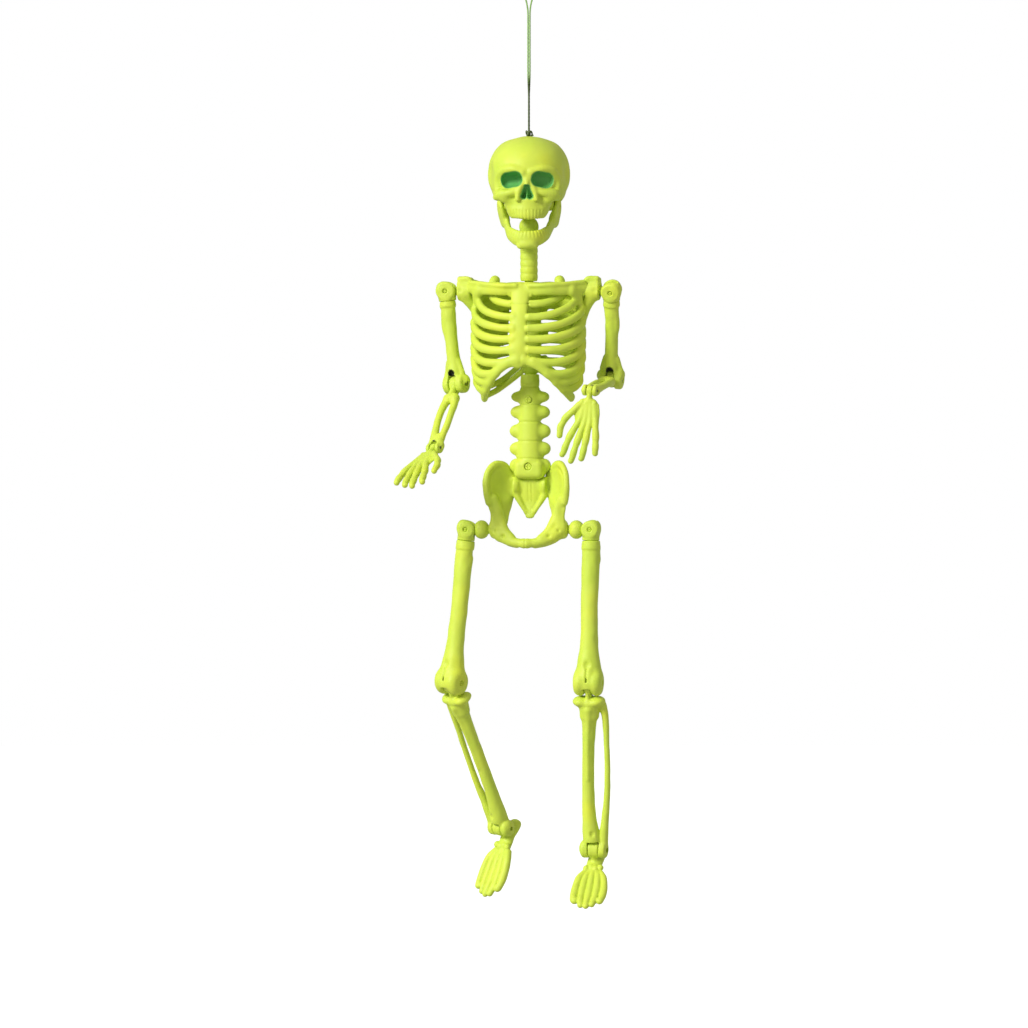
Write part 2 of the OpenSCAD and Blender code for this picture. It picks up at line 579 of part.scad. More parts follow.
// ---- Assembly ----

hanging_string();
crown_knot();
stop_knot();
skull_face();
skull_back();
jaw();
jaw_pins();
neck();
neck_pin();
rib_cage_front();
rib_cage_rear();
left_shoulder_blade();
right_shoulder_blade();
lumbar_spine();
spine_screws();
pelvis();
left_shoulder_peg();
left_shoulder_pin();
left_shoulder_head();
left_upper_arm();
left_elbow_pin();
left_forearm();
left_wrist_pin();
left_hand();
right_shoulder_peg();
right_shoulder_pin();
right_shoulder_head();
right_upper_arm();
right_elbow_pin();
right_forearm();
right_wrist_pin();
right_hand();
left_hip_peg();
left_hip_pin();
left_hip_head();
left_thigh();
left_knee_pin();
left_shin();
left_ankle_pin();
left_foot();
right_hip_peg();
right_hip_pin();
right_hip_head();
right_thigh();
right_knee_pin();
right_shin();
right_ankle_pin();
right_foot();
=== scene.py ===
"""Looks of the hanging toy skeleton: moulded lime plastic bones, dull steel pins and a twisted string.

Bones are modelled as blocks of signed distance in millimetres, in the same local frames as the CAD part:
a limb bone hangs down from its pivot, +X to the figure's left, -Y forward. Each is then meshed, placed by
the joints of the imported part, and rides on its body.
"""

import json
import math

import bpy
import numpy as np
import openvdb
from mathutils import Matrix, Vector


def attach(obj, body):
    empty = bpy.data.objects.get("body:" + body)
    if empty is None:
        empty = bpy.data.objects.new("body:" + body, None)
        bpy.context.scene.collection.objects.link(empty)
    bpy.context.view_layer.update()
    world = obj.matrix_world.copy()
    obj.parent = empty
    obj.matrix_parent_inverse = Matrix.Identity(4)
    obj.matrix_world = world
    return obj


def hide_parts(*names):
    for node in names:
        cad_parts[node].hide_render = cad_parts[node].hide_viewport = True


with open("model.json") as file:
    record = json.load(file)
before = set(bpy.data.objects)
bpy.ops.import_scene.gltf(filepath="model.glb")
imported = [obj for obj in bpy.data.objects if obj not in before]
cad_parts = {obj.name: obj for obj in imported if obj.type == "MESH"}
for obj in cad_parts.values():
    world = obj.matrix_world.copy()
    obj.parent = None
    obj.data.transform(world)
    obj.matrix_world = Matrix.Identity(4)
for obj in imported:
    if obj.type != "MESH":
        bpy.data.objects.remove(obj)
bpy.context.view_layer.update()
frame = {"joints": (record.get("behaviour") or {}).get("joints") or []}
JOINTS = {joint["name"]: joint for joint in frame["joints"]}

# ---------------- sizes, millimetres

CROWN = -84.0           # top of the skull
HEAD_YAW = 9.0          # turn of the head towards the figure's left, degrees
SEAM_Y = 3.5            # the skull's halves meet here
SHOULDER_Z = CROWN - 81
HIP_Z = -291.0
NECK_PIN_Z = -37.0      # below the crown
JAW_PIN_Z = -35.5
JAW_OPEN = 15.0         # degrees, as in the CAD part
PIN_HOLE = 0.95         # radius of the holes for the cross pins
WRIST_HOLE = 0.75
PEG_HOLE = 2.25         # the shoulder and hip pegs turn in these
HAND_BEND = {"left": 80.0, "right": -20.0}
FOOT_BEND = {"left": 24.0, "right": 30.0}
STEP = 0.36      # grid of the bones
FINE_STEP = 0.3   # grid of the skull, hands and feet

# ---------------- camera

CAMERA_TURN = 12.0          # round to the figure's left, degrees
CAMERA_DISTANCE = 8.0       # metres
TARGET_Z, TARGET_ASIDE = -0.2828, 0.0079    # metres
LENS, SENSOR_WIDTH = 530.4, 36.0            # millimetres


def new_object(name, data):
    """Puts a mesh, a lamp or a camera into the scene."""
    thing = bpy.data.objects.new(name, data)
    bpy.context.collection.objects.link(thing)
    return thing


def add_camera():
    """The photograph's camera: level, with a long lens, 12 degrees round to the figure's left."""
    turn = math.radians(CAMERA_TURN)
    back = Vector((math.sin(turn), -math.cos(turn), 0))
    along = Vector((math.cos(turn), math.sin(turn), 0))
    target = Vector((0, 0, TARGET_Z)) - along * TARGET_ASIDE
    data = bpy.data.cameras.new("camera")
    data.lens = LENS
    data.sensor_width = SENSOR_WIDTH
    camera = new_object("camera", data)
    camera.location = target + back * CAMERA_DISTANCE
    camera.rotation_euler = (-back).to_track_quat("-Z", "Y").to_euler()
    bpy.context.scene.camera = camera


# ---------------- clay: shapes and how they join

EDGE_CELLS = 4          # empty grid cells kept round a block
FAR = 6.0               # distance held where there is no clay
MARGIN = 1.2            # how far outside a shape its distances are worked out
SMOOTHING_PASSES = 2
PAINT_EDGE, PAINT_FADE = 0.6, 1.1   # how the green paint and the painted shade of the wells thin out at the edge of their zone


def smooth_min(a, b, k):
    """The smaller of two distances, with a fillet of size k where they are close."""
    if k <= 0:
        return np.minimum(a, b)
    h = np.clip(0.5 + 0.5 * (b - a) / k, 0, 1)
    return b + (a - b) * h - k * h * (1 - h)


def spline(rows, steps):
    """Catmull-Rom curve through rows of numbers."""
    rows = np.asarray(rows, float)
    padded = np.vstack([2 * rows[0] - rows[1], rows, 2 * rows[-1] - rows[-2]])
    out = []
    for i in range(len(rows) - 1):
        a, b, c, d = padded[i:i + 4]
        for t in np.arange(steps) / steps:
            out.append(0.5 * (2 * b + (c - a) * t + (2 * a - 5 * b + 4 * c - d) * t ** 2
                              + (3 * b - a - 3 * c + d) * t ** 3))
    return np.array(out + [rows[-1]])


def ball(centre, radii):
    """An ellipsoid."""
    c = np.asarray(centre, float)
    r = np.broadcast_to(np.asarray(radii, float), 3)

    def field(x, y, z):
        p = [(v - c[i]) / r[i] for i, v in enumerate((x, y, z))]
        reach = np.sqrt(p[0] ** 2 + p[1] ** 2 + p[2] ** 2)
        slope = np.sqrt((p[0] / r[0]) ** 2 + (p[1] / r[1]) ** 2 + (p[2] / r[2]) ** 2)
        return reach * (reach - 1) / np.maximum(slope, 1e-4)
    return c - r, c + r, field


def rod(rows, stretch=(1, 1, 1), steps=4):
    """A round bar through rows of x, y, z, radius. Its section is stretched along the axes."""
    s = np.asarray(stretch, float)
    path = spline(rows, steps) if steps > 1 else np.asarray(rows, float)
    points, radii = path[:, :3], path[:, 3]
    low = (points - radii[:, None] * s).min(0)
    high = (points + radii[:, None] * s).max(0)

    def field(x, y, z):
        best = None
        for a, b, ra, rb in zip(points[:-1] / s, points[1:] / s, radii[:-1], radii[1:]):
            ab = b - a
            p = [v / s[i] - a[i] for i, v in enumerate((x, y, z))]
            h = np.clip((p[0] * ab[0] + p[1] * ab[1] + p[2] * ab[2]) / max(ab @ ab, 1e-9), 0, 1)
            gone = sum((p[i] - h * ab[i]) ** 2 for i in range(3))
            here = np.sqrt(gone) - (ra + (rb - ra) * h)
            best = here if best is None else np.minimum(best, here)
        return best * s.min()
    return low, high, field


def slab(low, high, edge):
    """A box with rounded edges."""
    low, high = np.asarray(low, float), np.asarray(high, float)
    centre, half = (low + high) / 2, (high - low) / 2 - edge

    def field(x, y, z):
        q = [np.abs(v - centre[i]) - half[i] for i, v in enumerate((x, y, z))]
        outside = np.sqrt(sum(np.maximum(v, 0) ** 2 for v in q))
        return outside + np.minimum(np.maximum(np.maximum(q[0], q[1]), q[2]), 0) - edge
    return low, high, field


def drum(centre, axis, length, radius, edge):
    """A cylinder along X, Y or Z (axis 0, 1 or 2) with rounded rims."""
    c = np.asarray(centre, float)
    half = np.full(3, float(radius))
    half[axis] = length / 2
    others = [i for i in range(3) if i != axis]

    def field(x, y, z):
        p = [v - c[i] for i, v in enumerate((x, y, z))]
        side = np.sqrt(p[others[0]] ** 2 + p[others[1]] ** 2) - (radius - edge)
        end = np.abs(p[axis]) - (length / 2 - edge)
        return (np.sqrt(np.maximum(side, 0) ** 2 + np.maximum(end, 0) ** 2)
                + np.minimum(np.maximum(side, end), 0) - edge)
    return c - half, c + half, field


def both(shape):
    """The shape and its mirror image in X = 0."""
    low, high, field = shape
    reach = max(abs(low[0]), abs(high[0]))
    return (np.array([-reach, low[1], low[2]]), np.array([reach, high[1], high[2]]),
            lambda x, y, z: field(np.abs(x), y, z))


def turned(shape, axis, degrees, about=(0, 0, 0)):
    """The shape rotated about an axis (0, 1 or 2) through a point."""
    low, high, field = shape
    about = np.asarray(about, float)
    i, j = [(1, 2), (2, 0), (0, 1)][axis]
    c, s = math.cos(math.radians(degrees)), math.sin(math.radians(degrees))
    corners = []
    for k in range(8):
        p = np.array([(low, high)[k >> n & 1][n] for n in range(3)]) - about
        q = p.copy()
        q[i], q[j] = c * p[i] - s * p[j], s * p[i] + c * p[j]
        corners.append(q + about)

    def turned_field(x, y, z):
        p = [x - about[0], y - about[1], z - about[2]]
        p[i], p[j] = c * p[i] + s * p[j], -s * p[i] + c * p[j]
        return field(p[0] + about[0], p[1] + about[1], p[2] + about[2])
    return np.min(corners, 0), np.max(corners, 0), turned_field


class Clay:
    """A block of space that shapes are added to and carved from."""

    def __init__(self, low, high, step):
        self.step = step
        self.low = np.asarray(low, float) - EDGE_CELLS * step
        count = np.ceil((np.asarray(high, float) + EDGE_CELLS * step - self.low) / step).astype(int) + 1
        self.axes = [(self.low[i] + step * np.arange(count[i])).astype(np.float32) for i in range(3)]
        self.d = np.full(count, FAR, np.float32)

    def window(self, low, high, grow):
        cut = tuple(slice(int(np.searchsorted(self.axes[i], low[i] - grow)),
                          int(np.searchsorted(self.axes[i], high[i] + grow))) for i in range(3))
        return cut, np.meshgrid(*[self.axes[i][cut[i]] for i in range(3)], indexing="ij", sparse=True)

    def add(self, shape, k):
        cut, xyz = self.window(shape[0], shape[1], MARGIN + k)
        self.d[cut] = smooth_min(self.d[cut], shape[2](*xyz), k)

    def carve(self, shape, k):
        cut, xyz = self.window(shape[0], shape[1], MARGIN + k)
        self.d[cut] = -smooth_min(-self.d[cut], shape[2](*xyz), k)

    def bore(self, centre, axis, length, radius, mirrored=False):
        """A clean round hole, or a mirrored pair of them."""
        hole = drum(centre, axis, length, radius, 0.05)
        self.carve(both(hole) if mirrored else hole, 0.1)

    def engrave(self, low, high, line, depth, width):
        """Sinks a groove where line(x, y, z) is 0."""
        cut, xyz = self.window(low, high, 0)
        self.d[cut] += depth * np.exp(-(line(*xyz) / width) ** 2)

    def handwork(self, amount, size, seed):
        """Slight unevenness, as a pattern cut by hand leaves in the mould."""
        rng = np.random.default_rng(seed)
        field = rng.uniform(-1, 1, [max(4, int(n * self.step / size) + 3) for n in self.d.shape])
        for axis in range(3):
            old = np.linspace(0, 1, field.shape[axis])
            at = np.linspace(0, 1, self.d.shape[axis]) * (len(old) - 1)
            i = np.minimum(at.astype(int), len(old) - 2)
            t = at - i
            t = t * t * (3 - 2 * t)
            shape = [1, 1, 1]
            shape[axis] = -1
            t = t.reshape(shape)
            field = np.take(field, i, axis) * (1 - t) + np.take(field, i + 1, axis) * t
        self.d += (amount * field).astype(np.float32)


def smoothed(points, quads):
    """Moves each point half way to the middle of its neighbours, which takes out the grid's steps."""
    a, b = quads.ravel(), np.roll(quads, -1, 1).ravel()
    count = np.bincount(a, minlength=len(points)) + np.bincount(b, minlength=len(points))
    for _ in range(SMOOTHING_PASSES):
        middle = np.empty_like(points)
        for axis in range(3):
            value = points[:, axis]
            total = np.bincount(a, value[b], len(points)) + np.bincount(b, value[a], len(points))
            middle[:, axis] = total / count
        points = (points + middle) / 2
    return points


def cast(clay, node, place, material, body=None, keep=None, paint=None, made="_moulding"):
    """Meshes the clay as one piece that stands for a CAD node and rides on its body.

    The body has the node's own name unless one is given. place maps local millimetres to world metres.
    The clay is cut away where keep(x, y, z) > 0. Inside the shape called paint lies the skull's
    green paint, and in an arm's wells a near-black painted shade where shade falls.
    """
    name = node + made
    d = clay.d
    if keep is not None:
        xyz = np.meshgrid(*clay.axes, indexing="ij", sparse=True)
        d = np.maximum(d, keep(*xyz))
    grid = openvdb.FloatGrid(FAR)
    grid.copyFromArray(np.ascontiguousarray(d, dtype=np.float32))
    points, quads = grid.convertToQuads(0.0)
    points = smoothed(points.astype(float), quads) * clay.step + clay.low
    mesh = bpy.data.meshes.new(name)
    if paint is not None:
        depth = paint[2](points[:, 0], points[:, 1], points[:, 2])
        shade = np.clip(PAINT_EDGE - depth / PAINT_FADE, 0, 1).astype(np.float32)
    world = points @ place[:3, :3].T + place[:3, 3]
    if np.linalg.det(place[:3, :3]) < 0:
        quads = quads[:, ::-1]
    mesh.vertices.add(len(world))
    mesh.vertices.foreach_set("co", world.astype(np.float32).ravel())
    mesh.loops.add(4 * len(quads))
    mesh.loops.foreach_set("vertex_index", np.ascontiguousarray(quads, dtype=np.int32).ravel())
    mesh.polygons.add(len(quads))
    mesh.polygons.foreach_set("loop_start", np.arange(0, 4 * len(quads), 4, dtype=np.int32))
    mesh.update(calc_edges=True)
    mesh.validate()
    mesh.polygons.foreach_set("use_smooth", np.ones(len(mesh.polygons), bool))
    if paint is not None:
        mesh.attributes.new("paint", "FLOAT", "POINT").data.foreach_set("value", shade)
    mesh.materials.append(material)
    piece = new_object(name, mesh)
    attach(piece, body or node)
    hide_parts(node)


def cast_halves(clay, nodes, place, material, body, seam_y, gap, paint=None):
    """Casts a form as its front and its rear moulding, which meet at seam_y."""
    for node, way in zip(nodes, (1, -1)):
        cast(clay, node, place, material, body,
             lambda x, y, z: way * (y - (seam_y - way * gap)) + 0 * x + 0 * z, paint)


# ---------------- places of the bones

def pivot(joint):
    """A joint's place in millimetres."""
    return np.array(JOINTS[joint]["pos_m"]) * 1000


def axis_of(joint):
    """The unit vector that a joint turns about."""
    return np.array(JOINTS[joint]["axis"])


def unit(v):
    """The vector at length 1."""
    return v / np.linalg.norm(v)


def placed(origin, x, y, z):
    """A frame from its axes and its origin in millimetres, as a map to world metres."""
    place = np.eye(4)
    place[:3, :3] = np.column_stack([x, y, z]) / 1000
    place[:3, 3] = origin / 1000
    return place


def bone_place(side, top, bottom, side_axis):
    """A limb bone's frame. The right side's is a mirror image, so its Y comes from a left-handed set."""
    hand = 1 if side == "left" else -1
    z = unit(top - bottom)
    x = unit(side_axis - z * (side_axis @ z))
    return placed(top, x, hand * np.cross(z, x), z)


def bent(place, origin, degrees):
    """A frame turned about its own X and moved to a new origin."""
    c, s = math.cos(math.radians(degrees)), math.sin(math.radians(degrees))
    out = place.copy()
    out[:3, 1] = c * place[:3, 1] + s * place[:3, 2]
    out[:3, 2] = c * place[:3, 2] - s * place[:3, 1]
    out[:3, 3] = origin / 1000
    return out


def limb_places(side):
    """Frames of all moving bones of one side."""
    hand = 1 if side == "left" else -1
    arm_x = -hand * axis_of(side + "_elbow_bend")
    leg_x = hand * axis_of(side + "_knee_bend")
    shoulder, elbow, wrist = [pivot(side + j) for j in ("_arm_swing", "_elbow_bend", "_wrist_bend")]
    hip, knee, ankle = [pivot(side + j) for j in ("_leg_swing", "_knee_bend", "_ankle_bend")]
    places = {
        "upper_arm": bone_place(side, shoulder, elbow, arm_x),
        "forearm": bone_place(side, elbow, wrist, arm_x),
        "thigh": bone_place(side, hip, knee, leg_x),
        "shin": bone_place(side, knee, ankle, leg_x),
    }
    places["hand"] = bent(places["forearm"], wrist, HAND_BEND[side])
    places["foot"] = bent(places["shin"], ankle, FOOT_BEND[side])
    for part, limb, at in (("shoulder_head", "arm", shoulder), ("hip_head", "leg", hip)):
        twist = side + ("_upper_arm_twist" if limb == "arm" else "_thigh_twist")
        y = -hand * axis_of(side + "_" + limb + "_raise")
        z = hand * axis_of(twist)
        places[part] = placed(at, hand * np.cross(y, z), y, z)
    for part, limb, at in (("shoulder_peg", "arm", shoulder), ("hip_peg", "leg", hip)):
        y = -hand * axis_of(side + "_" + limb + "_raise")
        x = np.array([hand, 0, 0])
        places[part] = placed(at, x, y, hand * np.cross(x, y))
    return places


def body_place():
    """The torso's frame, which is the whole part's."""
    return placed(np.zeros(3), *np.eye(3))


def head_place():
    """The skull's frame: origin at the crown, turned by the head's yaw."""
    c, s = math.cos(math.radians(HEAD_YAW)), math.sin(math.radians(HEAD_YAW))
    return placed(np.array([0, 0, CROWN]), np.array([c, s, 0]), np.array([-s, c, 0]),
                  np.array([0, 0, 1]))


def jaw_place():
    """The open jaw's frame, with its pivot at the origin."""
    return bent(head_place(), pivot("jaw_open"), JAW_OPEN)


# ---------------- skull and jaw


def eye_socket(grow=0.0):
    """Rounded opening that droops outward and narrows as it goes back."""
    outer = slab([2.6 - grow, -34, -26.6 - grow], [13.8 + grow, -13.6 + grow, -18.9 + grow], 3.6 + grow)
    low, high, field = turned(outer, 1, 9, (8.5, 0, -22.5))

    def tapered(x, y, z):
        return field(x, y, z) + np.clip(y + 18, 0, 8) * 0.3
    return low, high, tapered


def nose_opening(grow=0.0):
    """Two leaning ovals side by side, wider at the bottom."""
    return both(rod([[0.5, -24, -26.3, 0.9 + grow], [1.15, -24, -29.2, 1.3 + grow],
                     [1.65, -24, -31.3, 1.65 + grow]], (1, 4.2, 1)))


def zigzag(x, size, reach):
    """A triangle wave, for the wandering line of a suture."""
    return reach * np.abs((x / size) % 2 - 1)


def skull_clay():
    """The whole skull, crown at the origin, before it is split into its two halves."""
    clay = Clay([-23, -28, -45], [23, 28, 1], FINE_STEP)
    # braincase
    clay.add(ball([0, 2.2, -20], [21.4, 22.9, 19.9]), 0)
    clay.add(ball([0, -3, -17.8], [20.4, 20.4, 17.6]), 4)
    clay.add(ball([0, 12, -22], [18.6, 13.6, 15]), 4)
    clay.add(both(ball([9.5, 4, -14.5], [10, 14, 12.4])), 3)
    clay.add(ball([0, 5, -32], [14.4, 14, 7.2]), 5)
    # face: brow, cheeks and upper jaw
    clay.add(ball([0, -13, -24], [14.5, 10.4, 9]), 3)
    clay.add(both(rod([[2.4, -22.3, -18.6, 1.7], [8, -21.6, -17.0, 1.7], [13.4, -18.2, -18.2, 1.6],
                       [16, -14.6, -22.6, 1.5], [15.6, -14.4, -27.4, 1.9]])), 1.8)
    clay.add(both(rod([[4.4, -21.4, -28.4, 1.5], [9, -20.8, -29.6, 1.9], [13.6, -18, -30.4, 2.9],
                       [15.6, -14.8, -31.8, 2.6]])), 1.6)
    clay.add(both(ball([11.6, -18.2, -31.9], [3.1, 2.5, 2.9])), 1.4)
    clay.add(ball([0, -12.6, -34], [10.6, 9.6, 7.8]), 3)
    clay.add(ball([0, -13.4, -38.4], [9.8, 9.0, 5.2]), 2)
    clay.add(rod([[0, -21.2, -20.6, 1.7], [0, -23.0, -23.4, 1.4], [0, -24.2, -26.0, 1.0]]), 1.2)
    clay.add(both(rod([[2.6, -22.4, -24.6, 1.0], [4.4, -22.4, -29.4, 1.2], [4.9, -22.4, -33, 1.3]])),
             1.2)
    # arch from the cheek back to the ear
    clay.add(both(rod([[15.4, -13.6, -31.2, 2.1], [16.4, -8, -30.6, 1.7], [16.8, -2.6, -29.8, 1.7],
                       [16.4, 2.6, -29.2, 1.9], [15.4, 6, -28.6, 2.0]])), 1.8)
    clay.add(both(ball([11.8, 5.5, -29.5], [6.0, 9, 5.2])), 3)
    clay.add(both(ball([8.6, -12.6, -34.8], [4.0, 6.4, 4.4])), 2.5)
    clay.add(both(ball([7.2, -13, -38.6], [3.4, 6.4, 3.9])), 2)
    # temples, hollow under the cheek and behind it
    clay.carve(both(ball([23.4, -9.6, -18.6], [4.4, 8.6, 7.6])), 3)
    clay.add(both(ball([13.6, -3, -27.6], [4.4, 9, 3.4])), 2.5)
    clay.carve(both(ball([15.0, -6.2, -34.8], [2.2, 5.2, 4.4])), 1.4)
    clay.carve(both(ball([16.6, -13.6, -38.8], [4.6, 9, 5.0])), 1.8)
    clay.carve(both(ball([8.2, -24.6, -31.9], [2.2, 1.8, 1.6])), 1.2)
    # mastoid and the lower edge of the back
    clay.add(both(rod([[14.6, 10.8, -29.4, 3.0], [14.0, 11.4, -32.0, 2.3], [13.4, 11.8, -33.6, 1.5]])),
             2)
    clay.add(ball([0, 20.6, -27], [6, 4.6, 3.4]), 3)
    # eyes, nose and the thin wall inside it
    clay.carve(both(eye_socket()), 0.9)
    clay.carve(nose_opening(), 0.5)
    clay.add(rod([[0, -19.6, -27, 0.4], [0, -19.9, -32, 0.5]]), 0.5)
    add_teeth(clay, (8.5, -13.4, 8.1), level=-39.6, dip=1.3, thick=1.35, tall=1.95, blend=1.2,
              zone=([-12, -24, -44], [12, -6, -38.4]), spread=9.4, depth=0.24)
    carve_sutures(clay)
    # hollow for the neck's round top, and the room inside the braincase
    clay.carve(ball([0, 5, -19.6], [18.2, 17.6, 16.4]), 0.5)
    clay.carve(drum([0, 0, -40], 2, 18, 4.3, 0.5), 0.8)
    clay.carve(both(slab([12.6, -5.8, -46], [26, 6.6, -32.4], 1.2)), 0.6)
    clay.add(both(slab([4.7, -3.2, -39.4], [7.4, 3.2, -32.6], 0.6)), 0.6)
    clay.add(both(drum([11, 1, JAW_PIN_Z], 0, 4, 3.1, 0.5)), 1.0)
    clay.add(both(slab([9.4, -2, -36], [12.9, 3.3, -29], 0.5)), 0.8)
    clay.bore([17, 1, JAW_PIN_Z], 0, 15.4, PIN_HOLE, mirrored=True)
    clay.bore([0, 0, NECK_PIN_Z], 0, 15.6, PIN_HOLE)
    clay.carve(drum([0, 0, 0], 2, 9, 1.15, 0.05), 0.3)
    clay.handwork(0.10, 5.0, 3)
    return clay


TOOTH_TURN = 11.6       # angle that one tooth takes of the dental arch


def add_teeth(clay, arch, level, dip, thick, tall, blend, zone, spread, depth):
    """One smooth band of teeth along an arch (half width, middle, depth), parted by faint lines."""
    wide, middle, deep = arch
    band = []
    for degrees in range(-80, 81, 20):
        a = math.radians(degrees)
        band.append([wide * math.sin(a), middle - deep * math.cos(a), level - dip * math.cos(a), thick])
    clay.add(rod(band, (1, 1, tall)), blend)

    def parting(x, y, z):
        """Distance along the arch to the nearest line between two teeth."""
        along = np.degrees(np.arctan2(x, -(y - middle))) / TOOTH_TURN
        return (0.5 - np.abs(along % 1 - 0.5)) * math.radians(TOOTH_TURN) * spread + 0 * z
    clay.engrave(*zone, parting, depth, 0.3)


def carve_sutures(clay):
    """The joins of the skull's plates, as fine zigzag grooves."""
    clay.engrave([-23, -28, -24], [23, 28, 1],
                 lambda x, y, z: y + 5.5 - 0.10 * np.abs(x) + zigzag(x + 0 * z, 1.1, 0.8), 0.16, 0.28)
    clay.engrave([-3, -5, -20], [3, 24, 1],
                 lambda x, y, z: x - 0.5 + zigzag(y + 0 * z, 1.2, 0.9), 0.16, 0.28)
    clay.engrave([-20, 12, -24], [20, 28, 1],
                 lambda x, y, z: z + 9 + 0.55 * np.abs(x) + zigzag(x + 0 * y, 1.2, 0.9), 0.16, 0.28)
    for near, far in ((-24, -15), (15, 24)):
        clay.engrave([near, -14, -30], [far, 12, -8],
                     lambda x, y, z: np.sqrt((y + 1) ** 2 * 0.62 + (z + 27) ** 2) - 11 + 0 * x, 0.12,
                     0.3)


def paint_zone():
    """Where the green paint lies: inside the eye sockets and the nose opening."""
    eyes, nose = both(eye_socket(0.25)), nose_opening(0.2)

    def field(x, y, z):
        return np.minimum(eyes[2](x, y, z), nose[2](x, y, z))
    return eyes[0], eyes[1], field


def add_skull(lime_painted):
    """The skull's face and back mouldings."""
    cast_halves(skull_clay(), ("skull_face", "skull_back"), head_place(), lime_painted, "skull",
                SEAM_Y, 0.05, paint_zone())


def add_jaw(lime):
    """Open lower jaw with teeth, chin and the two branches up to its pins."""
    clay = Clay([-19, -26, -20], [19, 9, 4], FINE_STEP)
    half = [[13.2, 4.6, -8.6, 3.4], [11.4, -4, -10.6, 3.6], [9.6, -13, -12.4, 3.7],
            [5.4, -19.6, -13.3, 4.2],
            [0, -21.4, -13.5, 4.5]]
    arch = half + [[-p[0], p[1], p[2], p[3]] for p in reversed(half[:-1])]
    clay.add(rod(arch, (0.46, 0.46, 1)), 0)
    clay.add(ball([0, -22.0, -16.0], [4.6, 2.4, 2.3]), 1.6)
    clay.add(both(ball([3.6, -21.6, -17.0], [2.0, 1.8, 1.5])), 1.0)
    # branches: a rounded head on the pin and a thinner blade in front
    clay.add(both(rod([[13.2, 4.2, -9.4, 4.0], [14.2, 3.4, -5.6, 3.9], [15.0, 2.2, -2.2, 3.4],
                       [15.2, 1.0, 0.6, 3.0]], (0.6, 1, 1))), 1.0)
    clay.add(both(rod([[12.4, 0.4, -8, 3.2], [13.4, -1.6, -4.2, 2.6], [14.4, -2.6, -0.6, 1.5]],
                      (0.6, 1, 1))), 1.4)
    clay.bore([14.4, 0, 0], 0, 4, PIN_HOLE, mirrored=True)
    add_teeth(clay, (8.6, -12.9, 7.9), level=-10.9, dip=0, thick=1.2, tall=1.3, blend=1.0,
              zone=([-11, -24, -12], [11, -8, -8]), spread=8.8, depth=0.2)
    clay.handwork(0.08, 4.0, 4)
    cast(clay, "jaw", jaw_place(), lime)


def add_neck(lime):
    """Round top in the mouth, then seven low rings down to the collar."""
    clay = Clay([-7, -7, -85], [7, 7, -33], STEP)
    clay.add(ball([0, 0, NECK_PIN_Z], 3.6), 0)
    clay.add(drum([0, 0, -41], 2, 8, 2.6, 0.4), 0.6)
    clay.add(ball([0, 0, -47], [5.2, 5.1, 5.1]), 0.8)
    clay.add(drum([0, 0, -61.8], 2, 28, 4.4, 0.1), 1)
    for i in range(7):
        z = -52.6 - 3.5 * i
        clay.add(drum([0, 0, z], 2, 2.7, 4.5, 0.8), 0.8)
        clay.add(rod([[0, 3.6, z, 0.9], [0, 5.4, z - 0.8, 0.7]]), 0.8)
    clay.add(drum([0, 0, -78.5], 2, 6, 2.2, 0.2), 0.3)
    clay.add(ball([0, 0, -81], 3.1), 0.3)
    clay.bore([0, 0, NECK_PIN_Z], 0, 20, PIN_HOLE)
    clay.handwork(0.08, 4.0, 5)
    cast(clay, "neck", head_place(), lime)


# ---------------- torso


CAGE_Y = -2.0
CAGE_WIDE, CAGE_DEEP = 28.6, 19.4        # half sizes to the middle of a rib
RIB_REACH = [0.68, 0.92, 1, 1, 1, 1, 1, 0.98, 0.95]         # share of the oval at the side
FRONT_REACH = [0.68, 0.92, 1, 1, 1, 1, 0.98, 0.91, 0.85]    # and at the front end
RIB_SAG = [0, 0, 0, 0.6, 1.4, 1.8, 1.8, 1.3, 0.8]           # dip below a straight run
RIB_FRONT = [(4.0, -172.2), (4.0, -179.0), (4.0, -185.0), (4.0, -190.6), (4.0, -196.2),
             (7.0, -202.4), (13.6, -208.3), (17.6, -212.6), (20.8, -216.8)]
RIB_SIDE_Z = [-165.4, -168.0, -175.0, -181.8, -188.4, -194.6, -200.6, -206.6, -212.6]
ARCH = [(2, -21.2, -201.5), (9, -20.4, -204.6), (14.5, -18.4, -209.2), (19.2, -13, -214.8),
        (22.2, -7.4, -219), (23.4, -2.6, -221.4)]
# the lower edge of the back half, as two bars side by side
BACK_EDGE = [[(23.4, -2.2, -220.8), (18, 6.4, -217), (11, 9, -211.6), (3, 6, -205.6)],
             [(24.4, -2.2, -216.8), (17, 9, -212.2), (10, 11, -206.6), (3, 7, -201.2)]]


def cage_point(reach, degrees, z, radius):
    """On the rib cage's oval: 0 degrees is the breastbone, 90 the side, 180 the back."""
    a = math.radians(degrees)
    return [reach * CAGE_WIDE * math.sin(a), CAGE_Y - reach * CAGE_DEEP * math.cos(a), z, radius]


def spine_y(z):
    """How far back the spine runs at a height."""
    return 3 + 6.5 * math.sin(math.pi * (z + 212) / 56)


def front_rib(i):
    """From the breastbone or the costal arch, level at first, then climbing to the side."""
    x, z0 = RIB_FRONT[i]
    start = math.degrees(math.asin(x / (FRONT_REACH[i] * CAGE_WIDE)))
    rows = []
    for t in np.linspace(0, 1, 7):
        reach = FRONT_REACH[i] + (RIB_REACH[i] - FRONT_REACH[i]) * t
        sag = RIB_SAG[i] * math.sin(math.pi * t)
        climb = (RIB_SIDE_Z[i] - z0) * (1 - math.cos(math.radians(90 * t))) - sag
        thick = 1.65 + (0.65 if i > 2 else 0.3) * t ** 1.5
        rows.append(cage_point(reach, start + (92 - start) * t, z0 + climb, thick))
    return rows


